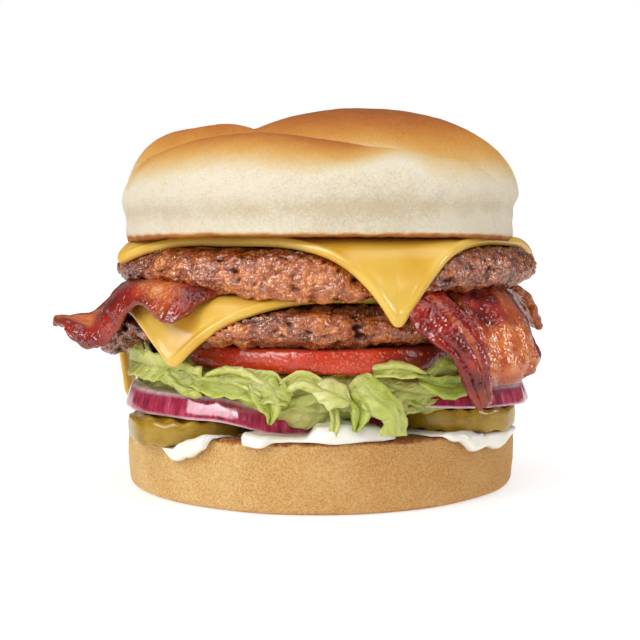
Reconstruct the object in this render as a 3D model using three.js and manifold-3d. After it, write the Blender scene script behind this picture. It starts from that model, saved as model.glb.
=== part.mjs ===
// A bacon cheeseburger: two beef patties with a slice of cheese on each, bacon between them, then tomato,
// shredded lettuce, two red onion rings, pickle chips and mayonnaise, in a folded soft roll.
// Millimetres, +Z up, +X to the right and +Y to the back. The origin is the middle of the heel's flat bottom.

import * as THREE from 'three';
import { mergeVertices } from 'three/addons/utils/BufferGeometryUtils.js';
import Module from 'manifold-3d';

const wasm = await Module();
wasm.setup();

// ---------- driving dimensions ----------

const GAP = 0.3; // clearance left between two pieces that touch
const SMOOTHING = 0.08; // how far a cut face may be simplified
const TURN = 2 * Math.PI;

const HEEL = { radius: 52.3, height: 17.6, foot: 50.4, footRise: 2.2, rim: 51.2, rimDrop: 1.2 };
const MAYONNAISE = {
  lip: 2.2, // thickness where it hangs down the heel's side
  wallGap: 1.3, // clearance to the heel's side
  bend: 1.0,
  // How far it has run at each heading, measured over the heel's top and down its side.
  runs: [
    [0, 50], [14, 54], [30, 56.5], [44, 50], [62, 53], [80, 46], [100, 52], [112, 57.5], [125, 52], [140, 49],
    [158, 54.5], [172, 48], [190, 44], [212, 44], [219, 53], [224, 57], [229.6, 59.6], [234, 58.4],
    [238.5, 56], [241.5, 52.5], [243.5, 46], [246, 45], [248.4, 51.6], [250.2, 54.2], [255, 54.8],
    [259, 53.6], [263, 52.6], [268, 52.8], [274, 53.2], [280, 52.6], [286, 52.8], [290, 51.4], [294, 47],
    [299, 46], [302, 52], [308, 54.8], [314, 57.6], [320, 57], [326, 58.6], [333, 56.6], [338, 53],
    [345, 47], [360, 50],
  ],
  // How thick it lies on the heel's top at each heading.
  depths: [
    [0, 1.6], [62, 3.2], [118, 2.8], [160, 2.2], [200, 1.0], [246, 0.6], [248.2, 0.8], [250, 1.7],
    [256, 1.5], [261, 1.0], [266, 1.0], [269.5, 3.3], [275, 3.9], [283, 3.9], [287, 2.9], [290, 1.3],
    [293, 0.6], [345, 1.0], [360, 1.6],
  ],
};
const PICKLES = [
  { name: 'pickle_left', x: -32.0, y: -25.0, radius: 17.2, thickness: 5.9, base: 15.4, lean: 0.035 },
  { name: 'pickle_right', x: 33.5, y: -21.5, radius: 17.0, thickness: 5.6, base: 18.5, lean: 0.06 },
  { name: 'pickle_rear', x: 2.0, y: 31.0, radius: 17.0, thickness: 4.6, base: 16.6, lean: 0.08 },
];
const PICKLE_RIDGE = { depth: 0.45, count: 17 };

// Onion rings: rise props the ring up on the pickle at its left, and flare tips its outer face up.
const ONION_PROP = { from: 8, to: 27 };
const ONIONS = [
  {
    name: 'onion_left', x: -13.8, y: -9.0, radius: 36.9, wall: 3.6,
    base: 18.5, height: 5.9, lean: 0.0, rise: 3.2, flare: 1.2,
  },
  {
    name: 'onion_right', x: 20.4, y: -6.0, radius: 34.9, wall: 3.6,
    base: 24.9, height: 5.0, lean: -0.06, rise: 0.0, flare: 0.9,
  },
];
const LETTUCE = {
  radius: 49.5, base: 26.2, heart: 22.0, heartRadius: 20, top: 33.2, shoulder: 39.6, ruffle: 2.2,
  apron: 50.5, apronFoot: 22.5, apronHeading: 277, apronSpread: 19,
};
const TOMATO = { x: 1.0, y: -14.5, radius: 36.4, base: 33.5, thickness: 6.1 };

// Patties: droop is how far the left end hangs down.
const LOWER_PATTY = {
  x: -2.8, y: 0.5, width: 56.6, depth: 53.4, base: 39.9, height: 10.2, seed: 2.1, droop: 7.0,
};
const UPPER_PATTY = {
  x: 2.0, y: 0.5, width: 56.4, depth: 53.6, base: 53.1, height: 10.4, seed: 5.3, droop: 0,
};
const DROOP = { from: 46, to: 58 };
const CHEESE = { side: 88, thickness: 2.2, rounding: 3.2, over: 0.8 };
const CROWN = { base: 66.5, radius: 54.0, skirtDrop: 2.4, waist: 0.05 };

// Each corner of a slice: how steeply it hangs at last, and how far its melted end has run on.
const UPPER_CHEESE = {
  x: 5.0, y: -4.0, turn: 15.5, bed: 63.9, patty: UPPER_PATTY,
  corners: { left: [52, 1.0], front: [84, 1.075], right: [54, 1.0], back: [70, 1.0] },
};
const LOWER_CHEESE = {
  x: -10.0, y: -4.5, turn: -32, bed: 50.5, patty: LOWER_PATTY,
  corners: { left: [82, 1.35], front: [82, 0.975], right: [66, 1.0], back: [60, 1.0] },
};

// Bacon strips: rails from the front edge to the back, each from under the upper patty to the free end.
const BACON_THICKNESS = 2.2;
const BACON = [
  {
    name: 'bacon_left',
    rails: [
      [[-12, -34, 54.3], [-27, -46.5, 51.6], [-33, -50.8, 47.2], [-38, -49, 46.6],
        [-43.3, -42.5, 50.0], [-47, -38.8, 48.0], [-49.5, -36.8, 43.6], [-53.5, -33.5, 39.4],
        [-58, -31.3, 38.0], [-61.8, -29, 39.8], [-64.5, -25.5, 42.8], [-69.3, -20, 43.6]],
      [[-12, -29, 54.3], [-25, -39.5, 54.0], [-31.5, -43, 53.9], [-36, -41, 54.0],
        [-43.5, -36.5, 54.2], [-48.2, -34.5, 52.8], [-52.3, -33, 48.6], [-55.5, -31.5, 43.6],
        [-58.5, -29.5, 42.2], [-62.5, -26.5, 43.0], [-65.5, -23.5, 44.2], [-69.4, -18.8, 44.0]],
      [[-13, -18, 54.3], [-26, -24, 54.2], [-32.5, -24, 54.2], [-37.5, -24, 54.2],
        [-44, -22, 54.2], [-49.5, -21.5, 53.0], [-53.8, -21, 49.0], [-57.5, -20.5, 44.6],
        [-60.5, -20, 43.2], [-63.5, -19, 43.6], [-66.5, -18, 44.4], [-69.6, -17, 44.2]],
      [[-14, -10, 54.3], [-27, -12, 54.2], [-34, -12, 54.2], [-40, -10, 54.2],
        [-46, -9, 54.2], [-51, -9, 53.6], [-54.6, -9.5, 51.0], [-57.2, -10, 48.2],
        [-60.5, -11, 46.4], [-64, -12, 45.4], [-67, -13.5, 44.6], [-69.6, -15.8, 44.2]],
    ],
  },
  {
    name: 'bacon_front',
    rails: [
      [[6, -30, 54.4], [12, -41, 54.2], [17, -49, 52.6], [20.2, -52.2, 48.6], [22.6, -53.2, 45.0],
        [26.5, -54, 41.4], [30.2, -54, 39.0], [32.8, -53.4, 35.4], [35, -52.2, 30.2], [38, -50.5, 25.6]],
      [[14, -28, 54.4], [18.8, -38.5, 54.2], [23, -46.5, 53.2], [26.2, -50.6, 50.2], [28.8, -52.6, 47.2],
        [31.8, -53.6, 44.0], [34.6, -54, 40.8], [36.5, -53.6, 36.8], [38, -52.6, 31.6], [39.4, -51, 26.4]],
      [[22, -26, 54.4], [25.5, -35.5, 54.2], [29, -43, 53.2], [32, -47, 50.4], [34.4, -49, 48.4],
        [36.6, -50.4, 45.6], [38.3, -51, 42.4], [39.8, -51, 38.0], [40.6, -50.4, 32.6], [40.4, -49.8, 28.0]],
    ],
  },
  {
    name: 'bacon_right',
    rails: [
      [[26, -18, 54.2], [29, -30, 54.0], [31, -38.5, 53.0], [33.6, -43.2, 50.0], [35.6, -45.6, 46.8],
        [37, -47.2, 42.6], [38, -47.9, 38.0], [38.6, -47.8, 33.6], [39, -46.8, 30.6]],
      [[30, -10, 54.4], [36, -19, 54.2], [41, -27, 53.6], [44, -33, 50.8], [46, -36.4, 47.2],
        [47.4, -38.4, 43.0], [48.4, -39.6, 38.6], [48.8, -40, 34.4], [47.6, -40.5, 30.8]],
      [[32, -2, 54.4], [40, -7, 54.2], [46, -12, 53.4], [49.4, -17, 50.6], [51.6, -20.5, 47.4],
        [53.6, -23, 43.6], [55, -25.5, 40.0], [56.2, -28, 36.6], [54.6, -31.5, 33.2]],
    ],
  },
  {
    name: 'bacon_rear',
    rails: [
      [[30, 4, 54.4], [44, 5, 54.2], [55.0, 6, 51.4], [59.5, 7, 45.6], [62.4, 9, 39.8]],
      [[28, 22, 54.4], [40, 23, 54.2], [51.0, 24, 51.6], [56.0, 24.5, 45.8], [58.8, 23.5, 41.2]],
    ],
  },
];

// ---------- small helpers ----------

const clamp = (value, low, high) => Math.min(high, Math.max(low, value));
const radians = (degrees) => (degrees * Math.PI) / 180;
const mix = (a, b, share) => a + (b - a) * share;

function smoothstep(value, from, to) {
  const t = clamp((value - from) / (to - from), 0, 1);
  return t * t * (3 - 2 * t);
}

/** A smooth uneven wave round a circle, between about -1 and 1. */
function uneven(angle, seed) {
  return (Math.sin(3 * angle + seed) + 0.8 * Math.sin(5 * angle + 2.3 * seed)
    + 0.6 * Math.sin(9 * angle + 4.1 * seed) + 0.5 * Math.sin(14 * angle + 1.7 * seed)) / 2.3;
}

/** A bump of height 1 round one heading, so many degrees wide on each side. */
function lobe(angle, heading, spread) {
  const away = Math.atan2(Math.sin(angle - radians(heading)), Math.cos(angle - radians(heading)));
  return Math.exp(-((away / radians(spread)) ** 2));
}

/** Reads a table of [heading in degrees, value] pairs, smoothly between them. */
function roundTable(table, angle) {
  const degrees = (((angle * 180) / Math.PI) % 360 + 360) % 360;
  const after = Math.max(1, table.findIndex(([heading]) => heading > degrees));
  const [[start, low], [end, high]] = [table[after - 1], table[after]];
  return mix(low, high, smoothstep(degrees, start, end));
}

/** The larger of two heights, rounded where they cross. */
function smoothMax(a, b, blend) {
  const share = clamp(0.5 + (a - b) / (2 * blend), 0, 1);
  return mix(b, a, share) + blend * share * (1 - share);
}

/** A closed mesh from points and triangles, turned so that its faces point out. */
function closedMesh(points, faces) {
  const corner = (index) => new THREE.Vector3(...points[index]);
  let volume = 0;
  for (let k = 0; k < faces.length; k += 3) {
    const [a, b, c] = faces.slice(k, k + 3).map(corner);
    volume += a.dot(b.cross(c));
  }
  if (volume < 0) faces.reverse();
  const geometry = new THREE.BufferGeometry();
  geometry.setAttribute('position', new THREE.Float32BufferAttribute(points.flat(), 3));
  geometry.setIndex(faces);
  return geometry;
}

/** Joins a stack of closed rings with equal point counts and fans the two ends shut. */
function ringSolid(rings, closed = false) {
  const count = rings[0].length;
  const points = rings.flat();
  const faces = [];
  const last = closed ? rings.length : rings.length - 1;
  for (let ring = 0; ring < last; ring++) {
    const above = (ring + 1) % rings.length;
    for (let k = 0; k < count; k++) {
      const next = (k + 1) % count;
      const [a, b, c, d] = [ring * count + k, ring * count + next, above * count + next, above * count + k];
      faces.push(a, b, c, a, c, d);
    }
  }
  if (!closed) {
    const middle = (ring) => [0, 1, 2].map((axis) => ring.reduce((sum, p) => sum + p[axis], 0) / count);
    const bottom = points.push(middle(rings[0])) - 1;
    const top = points.push(middle(rings.at(-1))) - 1;
    const base = (rings.length - 1) * count;
    for (let k = 0; k < count; k++) {
      const next = (k + 1) % count;
      faces.push(bottom, next, k, top, base + k, base + next);
    }
  }
  return closedMesh(points, faces);
}

/** One ring of points round an axis: shape(angle) gives [radius, height] at each angle. */
function ringAt(x, y, count, shape) {
  return Array.from({ length: count }, (_, k) => {
    const angle = (TURN * k) / count;
    const [radius, z] = shape(angle);
    return [x + radius * Math.cos(angle), y + radius * Math.sin(angle), z];
  });
}

/** A bent sheet of even thickness: place(u, v) gives a point of its middle surface. */
function sheetSolid(columns, rows, thickness, place) {
  const width = columns + 1;
  const sides = [[], []];
  const nudge = 1e-3;
  for (let row = 0; row <= rows; row++) {
    for (let column = 0; column <= columns; column++) {
      const u = column / columns;
      const v = row / rows;
      const here = new THREE.Vector3(...place(u, v));
      const along = new THREE.Vector3(...place(u + nudge, v)).sub(new THREE.Vector3(...place(u - nudge, v)));
      const across = new THREE.Vector3(...place(u, v + nudge)).sub(new THREE.Vector3(...place(u, v - nudge)));
      const normal = along.cross(across).normalize().multiplyScalar(thickness / 2);
      sides[0].push(here.clone().add(normal).toArray());
      sides[1].push(here.clone().sub(normal).toArray());
    }
  }
  const under = sides[0].length;
  const faces = [];
  for (let row = 0; row < rows; row++) {
    for (let column = 0; column < columns; column++) {
      const [a, b] = [row * width + column, row * width + column + 1];
      const [d, c] = [a + width, b + width];
      faces.push(a, b, c, a, c, d, under + a, under + c, under + b, under + a, under + d, under + c);
    }
  }
  const border = [];
  for (let k = 0; k < columns; k++) border.push(k);
  for (let k = 0; k < rows; k++) border.push(k * width + columns);
  for (let k = columns; k > 0; k--) border.push(rows * width + k);
  for (let k = rows; k > 0; k--) border.push(k * width);
  border.forEach((here, k) => {
    const next = border[(k + 1) % border.length];
    faces.push(here, under + here, under + next, here, under + next, next);
  });
  return closedMesh([...sides[0], ...sides[1]], faces);
}

// ---------- cutting ----------

function solidOf(geometry) {
  const merged = mergeVertices(geometry.clone(), 1e-4);
  const mesh = new wasm.Mesh({
    numProp: 3,
    vertProperties: new Float32Array(merged.attributes.position.array),
    triVerts: new Uint32Array(merged.index.array),
  });
  return new wasm.Manifold(mesh);
}

/** Cuts a geometry back from its grown neighbours and keeps the one main body. */
function cutBack(geometry, neighbours) {
  let solid = solidOf(geometry);
  for (const neighbour of neighbours) solid = solid.subtract(solidOf(neighbour));
  const bodies = solid.simplify(SMOOTHING).decompose().sort((a, b) => b.volume() - a.volume());
  const mesh = bodies[0].getMesh();
  const cut = new THREE.BufferGeometry();
  cut.setAttribute('position', new THREE.Float32BufferAttribute(Array.from(mesh.vertProperties), 3));
  cut.setIndex(Array.from(mesh.triVerts));
  return cut;
}

// ---------- bread ----------

function heelShape(grow = 0) {
  const side = (angle) => 0.35 * uneven(angle, 1.3) + grow;
  const profile = [
    [HEEL.foot, 0], [HEEL.foot + 1.4, 0.7], [HEEL.radius, HEEL.footRise],
    [HEEL.radius + 0.3, HEEL.height / 2], [HEEL.radius, HEEL.height - HEEL.rimDrop - 1.2],
    [HEEL.radius - 0.3, HEEL.height - HEEL.rimDrop / 2], [HEEL.rim, HEEL.height],
  ];
  return ringSolid(profile.map(([radius, z]) => (
    ringAt(0, 0, 40, (angle) => [radius + side(angle), z + grow * (z > 0)]))));
}

/** Where the crease of the crown's fold runs, as a distance to the back, at each distance to the right. */
const creaseAt = (x) => -29 + 28 * (clamp(12.7 - x, 0, 64) / 64) ** 1.6;

/** The crown's height before its edge is rounded: a front fold and two lobes behind it. */
function crownRise(x, y) {
  const crease = creaseAt(x);
  const fromPeak = x + 20;
  const ridgeFall = fromPeak < 0 ? 4.2 * (fromPeak / 32) ** 2 : 4.4 * (1 - Math.exp(-((fromPeak / 26) ** 2)));
  const ridge = 93 - ridgeFall;
  const frontFold = ridge - (y < crease ? 0.004 * (crease - y) ** 2 : 0.12 * (y - crease) ** 2);
  const fall = (Math.max(0, 5 - y) / 34) ** 2;
  const bigLobe = 100.9 - (x < 10 ? 0.0075 : 0.0038) * (x - 10) ** 2 - (15 * fall) / (1 + 0.28 * fall)
    - 0.0022 * Math.max(0, y - 8) ** 2;
  const leftLobe = 96.3 - 0.02 * Math.max(0, x + 27) ** 2 - 6 * Math.max(0, 1 - (y - crease) / 9) ** 2
    - 0.0018 * Math.max(0, y - 14) ** 2;
  return smoothMax(smoothMax(bigLobe, leftLobe, 1.2), frontFold, 0.8);
}

function crownShape() {
  const count = 40;
  const steps = [0.02, 0.07, 0.14, 0.23, 0.34, 0.47, 0.62, 0.78, 0.94];
  const skirt = (x) => CROWN.base - CROWN.skirtDrop * (Math.abs(x) / CROWN.radius) ** 4;
  const rings = [];
  for (const share of [0.55, 0.9]) {
    rings.push(ringAt(0, 0, count, (angle) => {
      const radius = share * (CROWN.radius - 2);
      return [radius, skirt(radius * Math.cos(angle))];
    }));
  }
  for (const step of steps) {
    const height = Math.sin((step * Math.PI) / 2) ** (2 / 4.5);
    const inward = Math.cos((step * Math.PI) / 2) ** (2 / 4);
    rings.push(ringAt(0, 0, count, (angle) => {
      const waist = 1 - CROWN.waist * (1 - smoothstep(height, 0.1, 0.5)) * (0.95 + 0.1 * Math.cos(angle));
      const radius = CROWN.radius * inward * waist + 0.3 * uneven(angle, 0.7) * inward;
      const [x, y] = [radius * Math.cos(angle), radius * Math.sin(angle)];
      const low = skirt(x);
      return [radius, low + (crownRise(x, y) - low) * height];
    }));
  }
  return ringSolid(rings);
}

// ---------- patties and cheese ----------

const pattyReach = (patty, angle) => {
  const oval = 1 / Math.hypot(Math.cos(angle) / patty.width, Math.sin(angle) / patty.depth);
  return oval + 1.0 * uneven(angle, patty.seed);
};

/** How far a patty and its slice hang down at each distance to the right. */
const hangAt = (patty, x) => patty.droop * smoothstep(-x, DROOP.from, DROOP.to);

/** A rounded disc of ground beef with an uneven rim. */
function pattyShape(patty, grow = 0) {
  const profile = [
    [0.72, -1], [0.88, -1], [0.975, -0.6], [1.0, 0.0], [0.965, 0.6], [0.89, 0.9], [0.78, 1], [0.7, 1],
  ];
  const middle = patty.base + patty.height / 2;
  return ringSolid(profile.map(([share, height]) => ringAt(patty.x, patty.y, 32, (angle) => {
    const wave = 0.25 * uneven(2 * angle, share * 9 + patty.seed) * (1 - height ** 2);
    const radius = share * pattyReach(patty, angle) + grow;
    const hang = hangAt(patty, patty.x + radius * Math.cos(angle));
    return [radius, middle + height * (patty.height / 2 + grow) + wave - hang];
  })));
}

/** A slice's flat outline, as points about the patty's middle, each with its steepest slope and its run. */
function sliceOutline(slice, perSide) {
  const names = ['right', 'back', 'left', 'front'];
  const toCorner = CHEESE.side / Math.SQRT2;
  const outline = [];
  names.forEach((name, k) => {
    const heading = radians(slice.turn) + (k * Math.PI) / 2;
    const [ax, ay] = [toCorner * Math.cos(heading), toCorner * Math.sin(heading)];
    const [from, to] = [slice.corners[name], slice.corners[names[(k + 1) % 4]]];
    for (let step = 0; step < perSide; step++) {
      const share = (1 - Math.cos((Math.PI * step) / perSide)) / 2;
      const away = Math.min(1, (CHEESE.side * Math.min(share, 1 - share)) / CHEESE.rounding);
      const pull = 1 - ((0.414 * CHEESE.rounding) / toCorner) * (1 - away) ** 2;
      const x = slice.x - slice.patty.x + pull * mix(ax, -ay, share);
      const y = slice.y - slice.patty.y + pull * mix(ay, ax, share);
      const steepest = radians(mix(from[0], to[0], share));
      outline.push({ x, y, steepest, run: cornerRun(from[1], to[1], share) });
    }
  });
  return outline;
}

/** The extra run of the melted slice, which is all near its corners. */
function cornerRun(from, to, share) {
  return 1 + (from - 1) * (1 - smoothstep(share, 0, 0.45)) + (to - 1) * smoothstep(share, 0.55, 1);
}

/** A slice that lies on a patty and bends down over its edge, walked outward from its middle. */
function cheeseShape(slice, grow = 0) {
  const outline = sliceOutline(slice, 7);
  const shares = [0.6, 0.72, 0.82, 0.91, 1];
  const layers = shares.map(() => []);
  for (const point of outline) {
    const heading = Math.atan2(point.y, point.x);
    const reach = Math.hypot(point.x, point.y);
    const rim = pattyReach(slice.patty, heading) + GAP + CHEESE.over;
    let [radius, drop, walked] = [0, 0, 0];
    shares.forEach((share, layer) => {
      let slope = 0;
      for (; walked < share * reach; walked += 0.25) {
        slope = point.steepest * smoothstep(radius, 0.8 * rim, 1.03 * rim);
        const step = radius > 0.95 * rim ? 0.25 * (1 + (point.run - 1) * 4) : 0.25;
        radius += step * Math.cos(slope);
        drop += step * Math.sin(slope);
      }
      layers[layer].push({ heading, radius, drop, slope });
    });
  }
  const half = CHEESE.thickness / 2 + grow;
  const bed = slice.bed + CHEESE.thickness / 2;
  const side = (layer, way) => layer.map(({ heading, radius, drop, slope }) => {
    const past = layer === layers.at(-1) ? grow : 0;
    const out = radius + way * half * Math.sin(slope) + past * Math.cos(slope);
    const x = slice.patty.x + out * Math.cos(heading);
    const z = bed - drop + way * half * Math.cos(slope) - past * Math.sin(slope) - hangAt(slice.patty, x);
    return [x, slice.patty.y + out * Math.sin(heading), z];
  });
  const under = layers.map((layer) => side(layer, -1));
  const over = layers.toReversed().map((layer) => side(layer, 1));
  return ringSolid([...under, ...over]);
}

// ---------- bacon ----------

/** A point of a curve, which runs on straight past its two ends. */
function pointBeyond(curve, along) {
  const inside = clamp(along, 0, 1);
  const past = (along - inside) * curve.getLength();
  return curve.getPoint(inside).addScaledVector(curve.getTangent(inside), past);
}

function baconShape(strip, grow = 0) {
  const smooth = (points) => new THREE.CatmullRomCurve3(points, false, 'centripetal');
  const rails = strip.rails.map((rail) => smooth(rail.map((point) => new THREE.Vector3(...point))));
  const columns = Math.round(1.5 * (strip.rails[0].length - 1));
  const rows = 2 * (rails.length - 1);
  const width = rails[0].getPoint(0.6).distanceTo(rails.at(-1).getPoint(0.6));
  const [endRoom, edgeRoom] = [grow / rails[0].getLength(), grow / width];
  return sheetSolid(columns, rows, BACON_THICKNESS + 2 * grow, (u, v) => {
    const along = mix(-endRoom, 1 + endRoom, u);
    const across = mix(-edgeRoom, 1 + edgeRoom, v);
    return pointBeyond(smooth(rails.map((rail) => pointBeyond(rail, along))), across).toArray();
  });
}

// ---------- salad and sauce ----------

function tomatoShape(grow = 0) {
  const profile = [[0.7, -1], [0.955, -0.97], [1, -0.5], [1.005, 0.2], [0.965, 0.96], [0.7, 1]];
  const middle = TOMATO.base + TOMATO.thickness / 2;
  return ringSolid(profile.map(([share, height]) => ringAt(TOMATO.x, TOMATO.y, 32, (angle) => [
    share * (TOMATO.radius + 0.5 * uneven(angle, 3.9)) + grow,
    middle + height * (TOMATO.thickness / 2 + grow),
  ])));
}

function onionShape(onion, grow = 0) {
  const wall = onion.wall + 2 * grow;
  const corners = [[-wall / 2, 0], [wall / 2 - 0.6, 0], [wall / 2 + 0.3, 0.5], [wall / 2, 1], [-wall / 2, 1]];
  const centre = onion.radius - onion.wall / 2;
  const rings = corners.map(([out, up]) => ringAt(onion.x, onion.y, 32, (angle) => {
    const radius = centre + out + 0.5 * uneven(angle, onion.radius) + onion.flare * (1 - 2 * up);
    const across = radius * Math.cos(angle);
    const propped = onion.rise * smoothstep(-onion.x - across, ONION_PROP.from, ONION_PROP.to);
    return [radius, onion.base - grow + propped + onion.lean * across + up * (onion.height + 2 * grow)];
  }));
  return ringSolid(rings, true);
}

function pickleShape(pickle, grow = 0) {
  const outward = Math.atan2(pickle.y, pickle.x);
  const count = grow ? 20 : 34;
  const ridged = grow ? 0 : 1;
  const profile = [[0.93, 0], [1, 0.3], [1, 0.7], [0.93, 1]];
  return ringSolid(profile.map(([share, up]) => ringAt(pickle.x, pickle.y, count, (angle) => {
    const ridge = ridged * (share > 0.9 ? PICKLE_RIDGE.depth * Math.cos(PICKLE_RIDGE.count * angle) : 0);
    const radius = share * pickle.radius + (grow ? grow + PICKLE_RIDGE.depth : 0) + ridge;
    const tilt = -pickle.lean * radius * Math.cos(angle - outward);
    return [radius, pickle.base + tilt - grow + up * (pickle.thickness + 2 * grow)];
  })));
}

/** Sauce over the heel's top, thin under what presses into it, with drips down the heel's side. */
function mayonnaiseShape() {
  const count = 48;
  const bed = HEEL.height + GAP;
  const { bend } = MAYONNAISE;
  const flat = HEEL.radius + MAYONNAISE.wallGap - bend;
  const over = (walked) => {
    if (walked <= flat) return { radius: walked, z: bed, slope: 0 };
    const slope = clamp((walked - flat) / bend, 0, Math.PI / 2);
    const down = Math.max(0, walked - flat - (bend * Math.PI) / 2);
    return { radius: flat + bend * Math.sin(slope), z: bed - bend * (1 - Math.cos(slope)) - down, slope };
  };
  const layer = (stop, share) => ringAt(0, 0, count, (angle) => {
    const reach = roundTable(MAYONNAISE.runs, angle);
    const { radius, z, slope } = over(Math.min(stop, reach));
    const thick = share * mix(roundTable(MAYONNAISE.depths, angle), MAYONNAISE.lip, slope / (Math.PI / 2));
    return [radius + thick * Math.sin(slope), z + thick * Math.cos(slope)];
  });
  const stops = [0.5 * flat, flat - 6, flat, flat + 0.8, flat + 1.6, flat + 12];
  return ringSolid([
    ...stops.map((stop) => layer(stop, 0)),
    ...stops.toReversed().map((stop) => layer(stop, 1)),
  ]);
}

/** The heap of shredded lettuce: a cushion under the tomato that rises round it and hangs down in front. */
function lettuceShape() {
  const { radius, base, heart, heartRadius, top, shoulder, apron } = LETTUCE;
  const hang = (angle) => smoothstep(lobe(angle, LETTUCE.apronHeading, LETTUCE.apronSpread), 0.25, 0.7);
  const edge = (angle) => radius + LETTUCE.ruffle * uneven(angle, 6.2) + 2.4 * lobe(angle, 205, 22);
  const low = (angle) => mix(base - 0.8 * lobe(angle, 150, 40), LETTUCE.apronFoot, hang(angle));
  const inner = (angle) => mix(radius - 6, apron - 1.4, hang(angle));
  const outer = (angle) => mix(edge(angle), apron + 2.0, hang(angle));
  const high = (angle) => mix(shoulder, top + 3.4, hang(angle));
  const ring = (shape) => ringAt(0, 0, 32, shape);
  return ringSolid([
    ring(() => [heartRadius, heart]),
    ring(() => [heartRadius + 12, heart]),
    ring((angle) => [inner(angle) - 0.8, mix(base, base - 1, hang(angle))]),
    ring((angle) => [inner(angle), low(angle)]),
    ring((angle) => [outer(angle), low(angle) + 0.6]),
    ring((angle) => [outer(angle) + 0.5, mix(low(angle), high(angle), 0.5)]),
    ring((angle) => [edge(angle) - 0.6, high(angle) - 0.8]),
    ring((angle) => [edge(angle) - 3.1, high(angle)]),
    ring((angle) => [edge(angle) - 9.6, high(angle)]),
    ring(() => [heartRadius, shoulder]),
  ]);
}

// ---------- the whole burger ----------

// Each finish: its colour and roughness.
const FINISHES = {
  bread: [0xe3c18d, 0.8],
  sauce: [0xf4f0e6, 0.35],
  pickle: [0x94762b, 0.35],
  onion: [0x9c3153, 0.3],
  lettuce: [0xa9ad5b, 0.5],
  tomato: [0xc04a2e, 0.3],
  beef: [0x7d4527, 0.55],
  cheese: [0xe9c163, 0.4],
  bacon: [0x9a3b26, 0.35],
};

const burger = new THREE.Group();
burger.name = 'burger';

function add(name, geometry, finish) {
  const [color, roughness] = FINISHES[finish];
  const mesh = new THREE.Mesh(geometry, new THREE.MeshStandardMaterial({ color, roughness, metalness: 0 }));
  mesh.name = name;
  burger.add(mesh);
}

const grownPickles = PICKLES.map((pickle) => pickleShape(pickle, GAP));
const grownOnions = ONIONS.map((onion) => onionShape(onion, GAP));
const grownCheeses = [LOWER_CHEESE, UPPER_CHEESE].map((slice) => cheeseShape(slice, 1.2 * GAP));

add('heel', cutBack(heelShape(), grownPickles), 'bread');
add('mayonnaise', cutBack(mayonnaiseShape(), [heelShape(GAP), ...grownPickles, ...grownOnions]), 'sauce');
for (const pickle of PICKLES) add(pickle.name, cutBack(pickleShape(pickle), grownOnions), 'pickle');
for (const onion of ONIONS) add(onion.name, onionShape(onion), 'onion');

const strips = [];
const grownStrips = [];
for (const strip of BACON) {
  strips.push(cutBack(baconShape(strip), [...grownCheeses, ...grownStrips]));
  grownStrips.push(baconShape(strip, GAP));
}

add('tomato', cutBack(tomatoShape(), grownCheeses), 'tomato');
add('lettuce', cutBack(lettuceShape(), [
  tomatoShape(GAP), pattyShape(LOWER_PATTY, GAP),
  ...grownOnions, ...grownPickles, ...grownCheeses, ...grownStrips,
]), 'lettuce');
add('patty_lower', cutBack(pattyShape(LOWER_PATTY), [grownCheeses[0], ...grownStrips]), 'beef');
add('cheese_lower', cheeseShape(LOWER_CHEESE), 'cheese');
strips.forEach((geometry, k) => add(BACON[k].name, geometry, 'bacon'));
add('patty_upper', cutBack(pattyShape(UPPER_PATTY), [...grownCheeses, ...grownStrips]), 'beef');
add('cheese_upper', cheeseShape(UPPER_CHEESE), 'cheese');
add('crown', cutBack(crownShape(), [grownCheeses[1]]), 'bread');

export default burger;
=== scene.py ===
"""Dresses a packed bacon cheeseburger: bread, beef, cheese, bacon, salad and sauce, each as its own true-size mesh.

Shapes are worked out in millimetres, in the row's frame (+Z up, +X right, +Y back), and turned into metres when
a mesh is made. Colours that vary over a piece are computed at its vertices and refined by procedural nodes.
"""

from __future__ import annotations

import logging
import math
from collections.abc import Sequence
from dataclasses import dataclass, field
from enum import Enum

import bpy
import numpy as np
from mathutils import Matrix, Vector

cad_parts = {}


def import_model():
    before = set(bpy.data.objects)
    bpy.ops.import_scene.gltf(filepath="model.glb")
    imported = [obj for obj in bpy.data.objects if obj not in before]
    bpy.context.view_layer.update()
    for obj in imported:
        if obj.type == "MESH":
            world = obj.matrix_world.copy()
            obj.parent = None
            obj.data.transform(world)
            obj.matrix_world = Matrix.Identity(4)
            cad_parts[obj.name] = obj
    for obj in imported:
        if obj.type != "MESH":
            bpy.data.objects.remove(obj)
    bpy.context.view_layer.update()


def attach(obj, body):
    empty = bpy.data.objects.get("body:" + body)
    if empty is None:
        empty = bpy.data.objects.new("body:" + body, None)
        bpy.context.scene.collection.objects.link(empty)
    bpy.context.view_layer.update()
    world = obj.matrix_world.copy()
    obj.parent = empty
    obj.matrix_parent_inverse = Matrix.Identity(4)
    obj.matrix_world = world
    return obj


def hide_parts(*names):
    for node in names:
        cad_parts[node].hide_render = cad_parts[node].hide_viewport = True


LOG = logging.getLogger("burger")

MM = 0.001
TURN = 2 * math.pi
BODY = "root"
FAR = 1000.0  # further than anything here, in millimetres

Array = np.ndarray
Colour = tuple[float, float, float]
Place = tuple[float, float, float]
Material = bpy.types.Material
Piece = bpy.types.Object
Socket = bpy.types.NodeSocket


class Slot(Enum):
    """The frame's material slots."""

    BREAD = "bread"
    MAYONNAISE = "mayonnaise"
    PICKLE = "pickle"
    ONION = "onion"
    LETTUCE = "lettuce"
    TOMATO = "tomato"
    BEEF = "beef"
    CHEESE = "cheese"
    BACON = "bacon"


# ---------- numbers and noise ----------


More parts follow.
